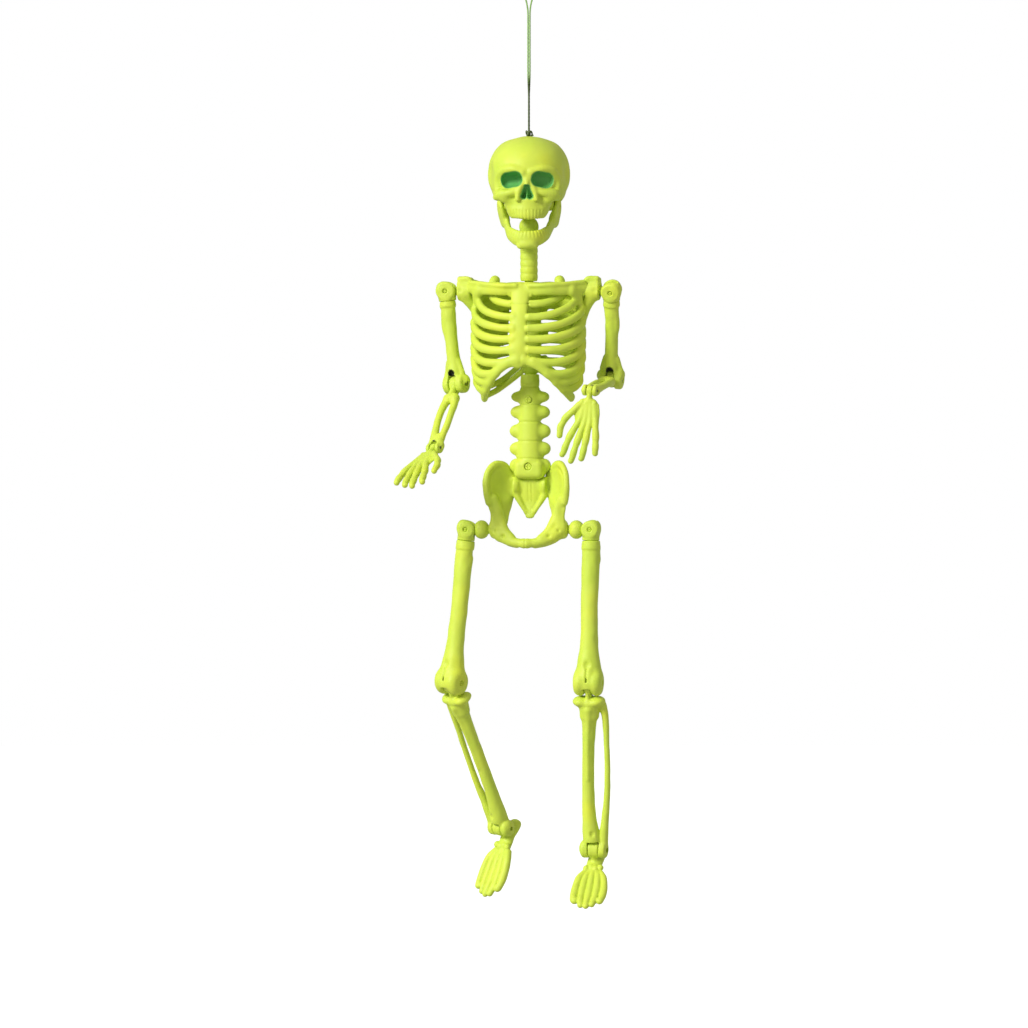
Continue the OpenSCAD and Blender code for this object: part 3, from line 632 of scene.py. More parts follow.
def rear_rib(i):
    """From the side, climbing on round the back to the spine."""
    z = RIB_SIDE_Z[i]
    rise = min(10.5, -162.5 - 3.2 * i - z)
    rows = [cage_point(RIB_REACH[i], 89 + 65 * t, z + rise * math.sin(math.radians(80 * t)),
                       2.0 + (0.5 if i > 2 else 0.2) * (1 - t)) for t in np.linspace(0, 1, 6)]
    return rows + [[3, spine_y(z + rise) + 1.5, z + rise, 1.6]]


def cage_clay():
    """Breastbone, ribs, costal arch, collar bones and upper spine, before the cage is split."""
    clay = Clay([-32, -26, -227], [32, 21, -156], STEP)
    # breastbone: handle, body and tip
    off = -1.5          # the mould leans it slightly to the figure's right
    clay.add(rod([[off, -13.2, -163.2, 2.2], [off, -14.8, -168, 2.3], [off, -17, -173.6, 2.0],
                  [off, -19.6, -180, 2.0], [off, -20.8, -188, 2.0], [off, -21.2, -196, 2.1],
                  [off, -21.2, -201, 1.8]], (2.3, 1, 1)), 0)
    clay.add(ball([off, -21.0, -203.2], [3.4, 1.6, 3.0]), 1.6)
    for i in range(9):
        clay.add(both(rod(front_rib(i), (1, 1, 1.26), 3)), 0.9 if i < 4 else 1.3)
        clay.add(both(rod(rear_rib(i), (1, 1, 1.26), 3)), 0.8)
    # costal arch, and the cage's lower edge from it back to the spine
    clay.add(both(rod([(*point, 1.9) for point in ARCH], (1, 1, 1.3))), 1.6)
    for bar in BACK_EDGE:
        clay.add(both(rod([(*point, 1.5) for point in bar])), 1.0)
    # collar bones, in one yoke with the first ribs
    clay.add(both(rod([[2, -13.2, -164.2, 1.9], [8, -14.4, -164.2, 1.9], [14, -13.8, -164.0, 1.95],
                       [22, -9.8, -163.8, 1.95], [30.8, -3.6, -163.0, 1.8]], (1, 1, 1.8))), 1.6)
    clay.add(both(rod([[4, -15.6, -162.4, 1.3], [12, -16.0, -162.3, 1.1], [22, -11.4, -161.4, 1.1],
                       [30.4, -5.0, -160.4, 1.2]])), 1.0)
    clay.add(both(rod([[18.6, -7.4, -163, 2.2], [17.4, -4.2, -159.5, 2.7], [18.8, -1, -163, 2.0]])), 1.4)
    # where the second rib runs into the yoke
    clay.add(both(rod([[25, -8.5, -164.8, 2.2], [27, -4.4, -167.6, 2.4], [27.4, -2.2, -171, 2.2]],
                      (1, 1, 1.3))), 1.4)
    clay.engrave([-7, -24, -200], [7, -10, -166], lambda x, y, z: np.abs(x - off) - 4.9 + 0 * y * z,
                 0.14, 0.5)
    clay.engrave([-7, -24, -176], [7, -10, -168], lambda x, y, z: z + 172 + 0 * x * y, 0.25, 0.5)
    add_upper_spine(clay)
    clay.handwork(0.14, 5.0, 6)
    return clay


def add_upper_spine(clay):
    """Ten vertebrae with tips down the back, and the collar that the neck turns in."""
    clay.add(rod([[0, spine_y(z), z, 4.5] for z in (-205.6, -197, -189, -181, -173, -166, -164.6)]), 0.8)
    clay.add(drum([0, 0, -164.8], 2, 9.0, 5.4, 0.2), 1.5)
    for i in range(10):
        z = -166.0 - 4.3 * i
        y = spine_y(z)
        clay.add(drum([0, y, z], 2, 2.9, 5.0, 0.8), 0.5)
        clay.add(both(rod([[3, y + 2.4, z, 1.3], [6.4, y + 4.4, z + 0.4, 1.2]])), 0.8)
        clay.add(rod([[0, y + 3, z, 1.4], [0, y + 6.2, z - 1.8, 1.0], [0, y + 7.2, z - 3.0, 0.8]]), 0.8)
    clay.carve(drum([0, 0, -163], 2, 8, 2.25, 0.1), 0.2)
    clay.carve(ball([0, 0, -165], 3.4), 0.2)


def blade_plate():
    """The flat triangle of a left shoulder blade, behind the ribs."""
    outline = np.array([[-8, -1], [3, 3], [8.5, 1], [7, -8], [-1, -29], [-4, -30], [-6.5, -26]], float)

    def field(x, y, z):
        best, inside = None, None
        for a, b in zip(outline, np.roll(outline, -1, 0)):
            edge = b - a
            u, v = x - a[0], z - a[1]
            h = np.clip((u * edge[0] + v * edge[1]) / (edge @ edge), 0, 1)
            gone = (u - h * edge[0]) ** 2 + (v - h * edge[1]) ** 2
            best = gone if best is None else np.minimum(best, gone)
            side = (edge[0] * v - edge[1] * u)
            inside = side if inside is None else np.maximum(inside, side)
        flat = np.sqrt(best) * np.where(inside < 0, -1, 1)
        out, thick = np.maximum(flat + 0.7, 0), np.maximum(np.abs(y) - 0.2, 0)
        return np.sqrt(out ** 2 + thick ** 2) + np.minimum(np.maximum(flat + 0.7, np.abs(y) - 0.2),
                                                           0) - 0.7
    return np.array([-8.0, -0.9, -30.0]), np.array([8.5, 0.9, 3.0]), field


def moved(shape, by):
    """The shape shifted by a vector."""
    low, high, field = shape
    by = np.asarray(by, float)
    return low + by, high + by, lambda x, y, z: field(x - by[0], y - by[1], z - by[2])


def add_shoulder_blade(side, lime):
    """Shaped as the left blade; the right one is its mirror image."""
    clay = Clay([8, -7, -197], [40, 24, -155], STEP)
    clay.add(drum([34.6, 0, SHOULDER_Z], 0, 7.2, 5.0, 0.7), 0)
    clay.add(slab([30.8, -3.4, -164.4], [38.2, 5, -157.7], 1.3), 1.6)
    clay.add(rod([[37, -1.5, -158.4, 1.1], [33, -2.4, -158.2, 1.1], [30.8, -2.6, -159.6, 1.0]]), 1.2)
    # ridge, outer border and flat plate
    clay.add(rod([[33, 4, -160.4, 2.4], [29, 11, -162, 2.2], [22, 16.9, -166, 1.7],
                  [14.5, 19.6, -169, 1.1]],
                 (1, 0.8, 1)), 1.2)
    clay.add(moved(turned(blade_plate(), 2, -28), [21.5, 16.9, -164]), 1.0)
    clay.add(rod([[34.2, -0.6, -167.4, 3.2], [31.0, 1.6, -171.2, 3.1], [28.8, 5, -176.4, 2.4],
                  [26, 11.6, -183, 1.6],
                  [20.6, 17.4, -192.4, 1.2]], (1, 1, 1.2)), 1.4)
    clay.carve(ball([36.6, -6.0, SHOULDER_Z + 0.4], [2.2, 1.6, 2.4]), 0.8)
    clay.bore([34, 0, SHOULDER_Z], 0, 20, PEG_HOLE)
    clay.handwork(0.12, 4.0, 7)
    place = body_place()
    if side == "right":
        place[0, 0] *= -1
    cast(clay, side + "_shoulder_blade", place, lime, "torso")


def add_rib_cage(lime):
    """The front and rear mouldings of the cage."""
    cast_halves(cage_clay(), ("rib_cage_front", "rib_cage_rear"), body_place(), lime, "torso", CAGE_Y,
                0.04)


SCREW_Z = (-222.3, -257.7)
LUMBAR_Y = 2.5


def add_lumbar_spine(lime):
    """Five rounded vertebrae with side lobes, widening to the block on the sacrum."""
    clay = Clay([-13, -6, -265.5], [13, 12, -207], STEP)
    clay.add(rod([[0, LUMBAR_Y, -212.8, 5.0], [0, LUMBAR_Y, -226, 5.7], [0, LUMBAR_Y, -240, 6.3],
                  [0, LUMBAR_Y, -254, 6.9]], (1, 0.84, 0.8)), 0)
    clay.add(drum([0, LUMBAR_Y, -211.2], 2, 4.4, 4.9, 0.5), 0.6)
    clay.add(slab([-8.0, LUMBAR_Y - 5.7, -264.2], [8.0, LUMBAR_Y + 4.6, -254.2], 3.0), 1.2)
    for i, (z, wide, tall) in enumerate([(-220.9, 10.3, 2.9), (-229.0, 10.7, 3.4), (-239.0, 11.1, 3.7),
                                         (-248.3, 11.1, 3.6), (-257.2, 11.2, 3.9)]):
        clay.add(both(ball([wide - 4.4, LUMBAR_Y + 0.8, z], [4.4, 3.2, tall])), 1.8)
        clay.add(both(rod([[4, LUMBAR_Y + 3.6, z + 1.4, 1.4], [7.2, LUMBAR_Y + 5.6, z + 1.0, 1.2]])),
                 0.8)
        clay.add(rod([[0, LUMBAR_Y + 4, z, 1.6], [0, LUMBAR_Y + 7.0, z - 1.4, 1.3]], (0.8, 1, 1.4)), 0.8)
    for z in (-215.6, -225.0, -234.0, -244.2, -253.4):
        clay.engrave([-8, -6, z - 1.2], [8, 12, z + 1.2], lambda x, y, v: v - z + 0 * x * y, 0.36, 0.4)
    for z in SCREW_Z:
        clay.carve(drum([0, LUMBAR_Y - 5.6, z], 1, 3.2, 2.0, 0.3), 0.3)
        clay.bore([0, LUMBAR_Y - 3, z], 1, 8, PIN_HOLE)
    clay.handwork(0.10, 4.0, 8)
    cast(clay, "lumbar_spine", body_place(), lime, "torso")


def add_pelvis(lime):
    """Sacrum, two wings, hip sockets and the bridge of the pubis."""
    clay = Clay([-27, -16, -303], [27, 14, -252], STEP)
    # sacrum with its side lobes and point
    clay.add(rod([[0, 5.2, -266.2, 3.6], [0, 5.4, -272, 3.1], [0, 5.2, -276.4, 2.3], [0, 4, -281, 1.5],
                  [0, 2.6, -284.2, 1.0]], (2.3, 1, 1)), 0)
    clay.add(both(ball([8.8, 3.2, -267.6], [4.3, 3.8, 4.6])), 1.8)
    clay.add(both(ball([10.4, 6.6, -262.6], [2.8, 2.0, 4.6])), 1.4)
    clay.add(both(rod([[8.6, 3.8, -269, 2.4], [6.6, 3.4, -274.6, 1.6], [2.4, 2.8, -281.6, 1.0]])), 1.0)
    clay.carve(both(rod([[4.7, 0.2, -266.6, 1.1], [4.3, 1.2, -272, 1.1], [2.6, 1.8, -277, 0.6]])), 0.8)
    clay.engrave([-3, -2, -276], [3, 6, -265], lambda x, y, z: np.abs(x) - 0.9 + 0 * y * z, 0.3, 0.35)
    # wings, hollowed inside, with a thick rim
    wing = rod([[0, 0, -260.0, 5.6], [0, 0, -264.6, 8.3], [0, 0, -270, 9.3], [0, 0, -276, 8.2],
                [0, 0, -282, 6.0],
                [0, 0, -287, 5.0]], (0.24, 1, 0.7))
    clay.add(both(moved(turned(wing, 2, 44), [15.6, 0, 0])), 1.2)
    clay.add(both(rod([[20.4, -6.2, -276.6, 1.7], [21.7, -7.6, -268, 1.6], [20.8, -6.4, -260.6, 1.6],
                       [17.4, -2.4, -256.4, 1.7], [13.2, 2.6, -257.6, 1.6], [10.8, 5.6, -262.6, 1.6]])),
                       1.2)
    clay.carve(both(moved(turned(ball([-2.6, 0.4, -267.5], [2.5, 6.6, 8.0]), 2, 44), [15.6, 0, 0])), 1.6)
    clay.add(both(rod([[18.2, -4.4, -275, 2.3], [16.2, -3.2, -281, 2.7], [16.4, -2.4, -286, 3.3],
                       [16.6, -2, -290.8, 4.1], [14.4, -4, -293.8, 3.5]])), 1.8)
    clay.add(both(rod([[14, -3.4, -286, 1.9], [11.8, -5, -291.6, 2.3], [8, -7, -295.4, 2.1]])), 1.8)
    # socket, pubis and the seat bones
    clay.add(both(drum([17.4, 0, HIP_Z], 0, 7.0, 4.9, 2.4)), 1.6)
    clay.add(both(rod([[15.6, -3.2, -292.8, 3.4], [11.6, -5.4, -295.8, 2.9], [7, -7.6, -297.6, 2.4],
                       [0, -8.8, -298.4, 2.3]])), 1.4)
    clay.add(ball([0, -9.2, -298.4], [3.4, 2.4, 2.7]), 1.2)
    clay.add(both(rod([[16, 0.6, -292.6, 3.0], [13, 1.0, -296, 2.3], [9, -3, -298.4, 1.8],
                       [5, -7, -299.4, 1.4]])), 1.4)
    clay.carve(both(ball([12.4, -8.6, -294.4], [1.1, 1.3, 0.9])), 0.9)
    clay.carve(both(ball([17.4, -7.4, -291.4], [1.0, 1.6, 1.1])), 0.9)
    clay.engrave([-1.5, -14, -303], [1.5, -4, -294], lambda x, y, z: x + 0 * y * z, 0.3, 0.35)
    clay.bore([20, 0, HIP_Z], 0, 13, PEG_HOLE, mirrored=True)
    clay.handwork(0.14, 4.5, 9)
    cast(clay, "pelvis", body_place(), lime, "torso")


# ---------------- shoulder and hip joints


def add_peg(place, name, inner, ball_at, lime):
    """A short axle that turns in the torso, with a flat eye for the cross pin and, at a hip, a ball."""
    clay = Clay([inner - 1, -5, -5], [4, 5, 5], FINE_STEP)
    clay.add(drum([(inner - 5) / 2, 0, 0], 0, -inner - 5, 2.2, 0.4), 0)
    clay.add(slab([-6.4, -1.42, -2.2], [0, 1.42, 2.2], 0.4), 0.3)
    clay.add(drum([0, 0, 0], 1, 2.84, 2.6, 0.4), 0.2)
    if ball_at:
        clay.add(ball([ball_at, 0, 0], [4.2, 4.7, 4.95]), 0.8)
        clay.engrave([ball_at - 4, -5, -5], [ball_at + 4, 5, 5], lambda x, y, z: z + 0 * x * y, 0.12,
                     0.22)
    clay.bore([0, 0, 0], 1, 9, 1.1)
    clay.handwork(0.05, 3.0, 10)
    cast(clay, name, place, lime)


def add_pivot_head(place, name, radius, width, skirt, stem, lime):
    """The rounded block on the cross pin, slotted for the peg; a ball-ended stem below turns in the limb."""
    clay = Clay([-6, -7, -13], [6, 7, 6], FINE_STEP)
    clay.add(drum([0, 0, 0], 1, width, radius, 1.3), 0)
    clay.add(drum([0, 0, -skirt / 2], 2, skirt, min(radius, width / 2) - 0.1, 0.12), 1.4)
    clay.add(ball([1.6, -0.4, 1.2], [3.8, 4.4, 4.2]), 1.2)
    clay.add(drum([0, 0, -skirt - 2.5], 2, 7, stem, 0.2), 0.2)
    clay.add(ball([0, 0, -skirt - 5.5], stem * 1.45), 0.2)
    clay.carve(slab([-20, -1.8, -3.3], [3.2, 1.8, 20], 0.5), 0.3)
    clay.carve(both_ways(drum([0, -width / 2, 0], 1, 0.9, 1.3, 0.3)), 0.4)
    clay.bore([0, 0, 0], 1, 20, PIN_HOLE)
    clay.handwork(0.10, 3.0, 11)
    cast(clay, name, place, lime)


def both_ways(shape):
    """The shape and its mirror image in Y = 0."""
    low, high, field = shape
    reach = max(abs(low[1]), abs(high[1]))
    return (np.array([low[0], -reach, low[2]]), np.array([high[0], reach, high[2]]),
            lambda x, y, z: field(x, -np.abs(y), z))


# ---------------- arms

UPPER_ARM, FOREARM, THIGH, SHIN = 49.5, 42.0, 81.0, 91.0


def add_upper_arm(place, side, lime):
    """A shaft that ends in a fork for the forearm's eye."""
    elbow = -UPPER_ARM
    clay = Clay([-9, -6, elbow - 6], [8, 6, -4], STEP)
    clay.add(rod([[0, 0, -7.6, 3.9], [0, 0, -10, 3.9], [0.2, 0, -16, 3.65], [0.1, 0, -26, 3.4],
                  [0, 0, -35.4, 3.6],
                  [-0.2, 0, -42, 4.2], [0, 0, -45, 4.5]], (1, 0.95, 0.6)), 0)
    clay.add(drum([0, 0, -6.8], 2, 2.96, 4.2, 0.12), 1.0)
    clay.add(rod([[2.7, -0.9, -12, 1.1], [3.0, -0.8, -18, 1.5], [2.6, -0.6, -25, 0.9]]), 1.2)
    clay.add(drum([0, 0, elbow], 0, 12.4, 5.0, 1.4), 1.6)
    clay.add(ball([-5.4, 0.6, elbow + 1.4], [2.8, 2.9, 3.2]), 1.4)
    clay.add(ball([4.9, 0.2, elbow + 2.2], [2.2, 3.0, 3.6]), 1.4)
    clay.add(both(rod([[3.4, -0.4, elbow + 12, 0.9], [5.3, -0.3, elbow + 6, 1.1]])), 1.4)
    clay.carve(slab([-2.3, -20, elbow - 20], [2.3, 20, elbow + 4.6], 0.4), 0.3)
    clay.carve(drum([0, -4, elbow + 5.9], 1, 5.6, 1.75, 0.3), 0.3)
    clay.carve(ball([0, 4.9, elbow + 7.4], [2.0, 1.3, 2.0]), 0.8)
    clay.carve(both(drum([6.4, 0, elbow], 0, 1.6, 1.7, 0.3)), 0.3)
    clay.carve(drum([0, 0, -5], 2, 13, 1.5, 0.2), 0.1)
    clay.bore([0, 0, elbow], 0, 40, PIN_HOLE)
    clay.handwork(0.13, 4.0, 12)
    # painted shade: the slot in front of the elbow is coloured near-black inside, where shade falls
    cast(clay, side + "_upper_arm", place, lime, paint=drum([0, -4, elbow + 5.9], 1, 6.4, 2.0, 0.3))


def add_forearm(place, side, lime):
    """Two bones side by side, with an eye at the elbow and a fork at the wrist."""
    wrist = -FOREARM
    clay = Clay([-7, -6, wrist - 5], [7, 6, 7], STEP)
    clay.add(drum([0, 0, 0], 0, 4.1, 4.25, 0.7), 0)
    clay.add(rod([[0, 0.4, -3, 3.3], [0, 0.2, -6, 3.0], [0, 0, -9, 2.9]], (0.62, 1, 1)), 0.5)
    clay.add(rod([[0, 2.8, 1.2, 1.9], [0, 3.0, 3.0, 1.7]], (0.95, 1, 1)), 0.8)
    clay.add(both(ball([2.4, 0, -9.6], [2.3, 2.6, 2.8])), 1.2)
    clay.add(rod([[2.2, 0, -9, 2.3], [3.3, -0.2, -14, 2.0], [3.5, -0.6, -21, 1.85],
                  [3.2, -0.4, -28, 1.9],
                  [2.4, 0, -34.5, 2.3], [2.0, 0, -38, 2.4]]), 0.7)
    clay.add(rod([[-2.2, 0.2, -9, 2.4], [-3.0, 0.3, -14, 2.0], [-3.3, -0.1, -21, 1.8],
                  [-3.1, 0, -28, 1.8],
                  [-2.2, 0, -35, 1.9], [-1.9, 0, -38, 2.1]]), 0.7)
    clay.add(rod([[0, 0, wrist + 7, 2.3], [0, 0, wrist + 3.5, 2.6]], (1.5, 1, 1)), 1.0)
    clay.add(drum([0, 0, wrist], 0, 8.0, 3.0, 0.9), 0.8)
    clay.add(both(ball([3.4, 0.4, wrist + 1.6], [1.7, 2.2, 2.4])), 0.8)
    clay.carve(slab([-1.8, -20, wrist - 20], [1.8, 20, wrist + 3.1], 0.3), 0.3)
    clay.bore([0, 0, 0], 0, 40, PIN_HOLE)
    clay.bore([0, 0, wrist], 0, 40, WRIST_HOLE)
    clay.handwork(0.12, 3.6, 13)
    # painted shade: a small near-black spot at the wrist's fork, where shade falls in the slot
    cast(clay, side + "_forearm", place, lime,
         paint=drum([0, -2.6, wrist + 2.7], 1, 1.6, 0.9, 0.3))


# Joints of the thumb and the fingers as (x, z): palm end, knuckle, middle, tip.
FINGERS = [[(-4.6, -8), (-11.2, -15.6), (-13.6, -20.6), (-13.8, -26.8)],
           [(-3.4, -15), (-8, -25), (-10.0, -31), (-11.4, -36.6)],
           [(-0.8, -16), (-3.6, -27), (-5.2, -33.6), (-6.4, -39.6)],
           [(2, -15.4), (0.8, -26.4), (0.0, -32.4), (-0.8, -37.8)],
           [(4.6, -14.4), (6, -24), (6.4, -29.6), (6.4, -34.4)]]


# Depth (y) and radius from the wrist to a fingertip.
FINGER_FORM = [(-0.5, 1.6), (-0.9, 1.75), (-1.5, 1.7), (-1.7, 1.95), (-1.7, 1.65), (-1.6, 1.85),
               (-1.4, 1.6), (-1.1, 1.6)]


def halfway(a, b):
    """The middle of two (x, z) points."""
    return (a[0] + b[0]) / 2, (a[1] + b[1]) / 2


def add_hand(place, side, lime):
    """Wrist eye, small wrist bones, long palm bones and knuckled fingers."""
    clay = Clay([-17, -5, -42], [9, 5, 4], FINE_STEP)
    clay.add(drum([0, 0, 0], 0, 3.0, 2.6, 0.5), 0)
    clay.add(rod([[0, 0, -1.4, 2.2], [0, 0, -4.6, 2.1]], (0.7, 1, 1)), 0.4)
    clay.add(rod([[0, 0, -6, 2.0], [-0.2, 0, -9, 1.9], [0, 0.1, -14, 1.5]], (2.2, 1, 1)), 1.0)
    clay.add(rod([[-0.2, -0.5, -7.4, 1.4], [-0.2, -0.7, -12, 1.6], [0.0, -0.8, -17.4, 1.4]],
                 (4.4, 1, 1)), 1.0)
    for k in range(4):
        clay.add(ball([-3.3 + 2.2 * k, -0.9, -6.0 - 0.6 * (k % 2)], [1.4, 1.3, 1.3]), 0.4)
    for k, finger in enumerate(FINGERS):
        root, knuckle, middle, tip = finger
        base = (0.62 * root[0] - 0.4 + 0.2 * k, -8.0)
        stops = [base, root, halfway(root, knuckle), knuckle, halfway(knuckle, middle), middle,
                 halfway(middle, tip), (tip[0], tip[1] + 1.6)]
        clay.add(rod([[x, y, z, thick] for (x, z), (y, thick) in zip(stops, FINGER_FORM)]), 0.45)
        x, z = halfway(root, base)
        clay.add(ball([x, -1.0, z], [1.3, 1.1, 2.6]), 0.5)
    clay.bore([0, 0, 0], 0, 40, WRIST_HOLE)
    clay.handwork(0.05, 3.6, 14)
    cast(clay, side + "_hand", place, lime)


# ---------------- legs


def add_thigh(place, side, lime):
    """A stout shaft with two condyles round the knee pin."""
    knee = -THIGH
    clay = Clay([-9, -8, knee - 8], [9, 8, -4], STEP)
    clay.add(rod([[0, 0, -9, 4.6], [0.2, 0, -14, 4.75], [0, 0, -24, 4.7], [-0.2, 0.2, -40, 4.55],
                  [-0.1, 0.1, -54, 4.6],
                  [0, 0, -63, 5.0], [0, 0, -69, 5.9], [0, 0, -73.4, 6.6]], (1, 0.93, 0.7)), 0)
    clay.add(drum([0, 0, -8.1], 2, 4.32, 4.75, 0.12), 1.0)
    clay.add(rod([[3.0, 0.6, -10, 1.7], [3.6, 0.4, -16, 1.2]]), 1.4)
    clay.add(rod([[-3.2, 1.2, -15, 1.4], [-3.4, 1.0, -19, 1.0]]), 1.2)
    clay.add(rod([[0.6, 3.8, -16, 0.9], [0, 4.0, -40, 0.9], [0, 3.8, -60, 0.8]]), 1.4)
    # two rounded condyles, closed over the shin's tongue in front and open below and behind
    clay.add(both(ball([3.9, -0.2, knee + 0.6], [3.9, 6.9, 7.0])), 2.0)
    clay.add(both(drum([5.0, 0, knee], 0, 4.4, 6.4, 2.2)), 1.8)
    clay.add(ball([0, -4.6, knee + 1.4], [4.4, 2.5, 6.4]), 1.2)
    clay.carve(drum([0, 0, knee], 0, 3.8, 6.0, 0.4), 0.3)
    clay.carve(slab([-1.9, -20, knee - 20], [1.9, 20, knee - 3.6], 0.4), 0.4)
    clay.carve(slab([-1.9, 0, knee - 20], [1.9, 20, knee + 5.6], 0.4), 0.4)
    clay.engrave([-2, -9, knee], [2, -4, knee + 7.5], lambda x, y, z: x + 0 * y * z, 0.7, 0.55)
    clay.carve(ball([0, -6.0, knee + 9.6], [1.5, 1.1, 1.8]), 1.2)
    clay.carve(both(drum([7.7, 0, knee], 0, 1.3, 1.5, 0.3)), 0.3)
    clay.carve(drum([0, 0, -6], 2, 14, 1.8, 0.2), 0.1)
    clay.bore([0, 0, knee], 0, 40, PIN_HOLE)
    clay.handwork(0.16, 5.0, 15)
    cast(clay, side + "_thigh", place, lime)


def add_shin(place, side, lime):
    """The shin bone and its thin companion, a gap between them, with a fork at the ankle."""
    ankle = -SHIN
    clay = Clay([-9, -7, ankle - 6], [12, 7, 7], STEP)
    clay.add(drum([0, 0, 0], 0, 3.4, 5.75, 0.7), 0)
    clay.add(rod([[0, 0, -3, 4.2], [0, 0, -8, 4.2]], (0.42, 1, 1)), 0.5)
    clay.add(both(ball([4.2, 0, -9.8], [4.4, 5.5, 2.6])), 1.0)
    clay.add(rod([[0, 0, -11, 5.4], [0, 0, -14, 4.6], [0, 0, -18, 4.2]], (1.2, 1, 0.6)), 1.4)
    clay.add(rod([[0, 0, -14, 4.6], [-0.2, 0, -20, 4.0], [-0.8, 0, -30, 3.4], [-1.6, 0, -46, 3.2],
                  [-2.0, 0, -60, 3.3],
                  [-2.0, 0, -72, 3.6], [-1.4, 0, -81, 4.4], [-0.8, 0, -86, 4.8]], (1, 1, 1)), 1.2)
    clay.add(rod([[0, -4.0, -14, 1.7], [0, -3.6, -19, 1.2], [-1, -3.0, -32, 0.8],
                  [-1.6, -2.9, -52, 0.8]]), 1.2)
    clay.add(rod([[6.9, 0.8, -12.4, 2.3], [8.1, 1.3, -18, 1.8], [8.4, 1.4, -30, 1.6],
                  [8.4, 1.2, -48, 1.6],
                  [7.6, 0.8, -64, 1.75], [6.2, 0.5, -76, 2.1], [5.2, 0.2, -86, 2.6],
                  [5.0, 0, -90, 2.4]]), 0.8)
    clay.add(drum([0, 0, ankle], 0, 13, 4.4, 1.2), 1.2)
    clay.add(ball([-5.2, -0.6, ankle + 0.4], [2.6, 3.6, 4.2]), 1.0)
    clay.add(ball([5.4, 0.4, ankle - 0.4], [2.3, 3.3, 4.4]), 1.0)
    clay.carve(slab([-2.9, -20, ankle - 20], [2.9, 20, ankle + 4.6], 0.5), 0.3)
    clay.carve(both(drum([6.6, 0, ankle], 0, 1.4, 1.6, 0.3)), 0.3)
    clay.carve(ball([0.4, -4.6, ankle + 9.4], [1.6, 1.3, 1.8]), 0.7)
    clay.bore([0, 0, 0], 0, 40, PIN_HOLE)
    clay.bore([0, 0, ankle], 0, 40, PIN_HOLE)
    clay.handwork(0.16, 5.0, 16)
    cast(clay, side + "_shin", place, lime)


TOE_REACH = [32.6, 36.4, 37.0, 35.6, 32.2]


def add_foot(place, side, lime):
    """Ankle eye, heel, small bones, and five toes joined by a web."""
    clay = Clay([-12, -40, -14], [13, 12, 5], FINE_STEP)
    clay.add(drum([0, 0, 0], 0, 5.4, 4.35, 0.7), 0)
    clay.add(rod([[0, 0, -2, 3.4], [0, 0, -6, 3.8]], (0.72, 1.1, 1)), 0.6)
    clay.add(rod([[0, 6.6, -8.6, 2.3], [0, 4, -8.2, 2.9], [0, -1, -7.6, 2.8], [-0.4, -7, -8, 2.6],
                  [-0.4, -11, -8.6, 2.2]],
                 (1.5, 1, 1)), 1.2)
    clay.add(ball([0, 6.4, -9.0], [3.4, 2.9, 2.2]), 1.4)
    for k in range(4):
        clay.add(ball([-3.6 + 2.5 * k, -8.0 + 0.8 * (k % 2), -6.6], [1.7, 1.9, 1.6]), 0.5)
    for k in range(5):
        x0, x1 = -4.2 + 2.2 * k, -7.2 + 3.8 * k
        back = -9 - 0.6 * abs(k - 2)
        thick = 1.12 if k == 0 else 1.0
        reach = TOE_REACH[k]
        inward = 0.8 * x1 + 0.1
        clay.add(rod([[x0, back, -8.0, 1.7 * thick], [x0 + (x1 - x0) * 0.7, -15, -7.8, 1.8 * thick],
                      [x1, -21, -8.8, 1.9 * thick], [x1, -25, -9.4, 2.0 * thick],
                      [x1, -28.4, -9.6, 1.75 * thick], [0.92 * x1, -31, -9.7, 1.8 * thick],
                      [inward, -reach + 1.9, -9.9, 1.65 * thick]], (1, 1, 0.95)), 0.45)
    clay.add(rod([[0, -9.5, -8.6, 0.9], [0.2, -14, -9, 1.2], [0.4, -18, -9.3, 1.4],
                  [0.6, -26, -10.2, 1.3], [0.2, -31, -10.6, 0.9]],
                 (5.4, 1, 1)), 0.8)
    clay.bore([0, 0, 0], 0, 40, PIN_HOLE)
    clay.handwork(0.10, 3.2, 17)
    cast(clay, side + "_foot", place, lime)


# ---------------- pins and screws


PIN_STEP = 0.14         # grid of the pins
SLOT_HALF = 0.14        # half the width of a screwdriver slot


def pin_clay(centre, axis, length, radius):
    """A pin with rounded ends, each cut by a screwdriver slot."""
    c = np.asarray(centre, float)
    low, high = c - 2.4, c + 2.4
    low[axis], high[axis] = c[axis] - length / 2 - 0.5, c[axis] + length / 2 + 0.5
    clay = Clay(low, high, PIN_STEP)
    clay.add(drum(c, axis, length, radius, 0.22), 0)
    across = [i for i in range(3) if i != axis][0]
    for end in (-1, 1):
        size = np.full(3, SLOT_HALF)
        size[axis] = 0.45
        size[across] = radius + 0.4
        at = c.copy()
        at[axis] += end * length / 2
        clay.carve(slab(at - size, at + size, 0.05), 0.05)
    return clay


def cast_pin(clay, place, name, body, finish):
    """Casts metal parts, whose names end in _turned."""
    cast(clay, name, place, finish, body, made="_turned")


def add_limb_pins(side, places, steel, painted_steel):
    """The cross pins of one arm and one leg. Only the elbow's and the wrist's are left bare."""
    rows = [("shoulder_pin", "shoulder_head", [0, 0, 0], 1, 9.0, 0.9, painted_steel),
            ("elbow_pin", "upper_arm", [0, 0, -UPPER_ARM], 0, 12.0, 0.9, steel),
            ("wrist_pin", "forearm", [0, 0, -FOREARM], 0, 7.8, 0.7, steel),
            ("hip_pin", "hip_head", [0, 0, 0], 1, 9.2, 0.9, painted_steel),
            ("knee_pin", "thigh", [0, 0, -THIGH], 0, 14.4, 0.9, painted_steel),
            ("ankle_pin", "shin", [0, 0, -SHIN], 0, 12.6, 0.9, painted_steel)]
    for name, bone, centre, axis, length, radius, finish in rows:
        clay = pin_clay(centre, axis, length, radius)
        cast_pin(clay, places[bone], side + "_" + name, side + "_" + bone, finish)


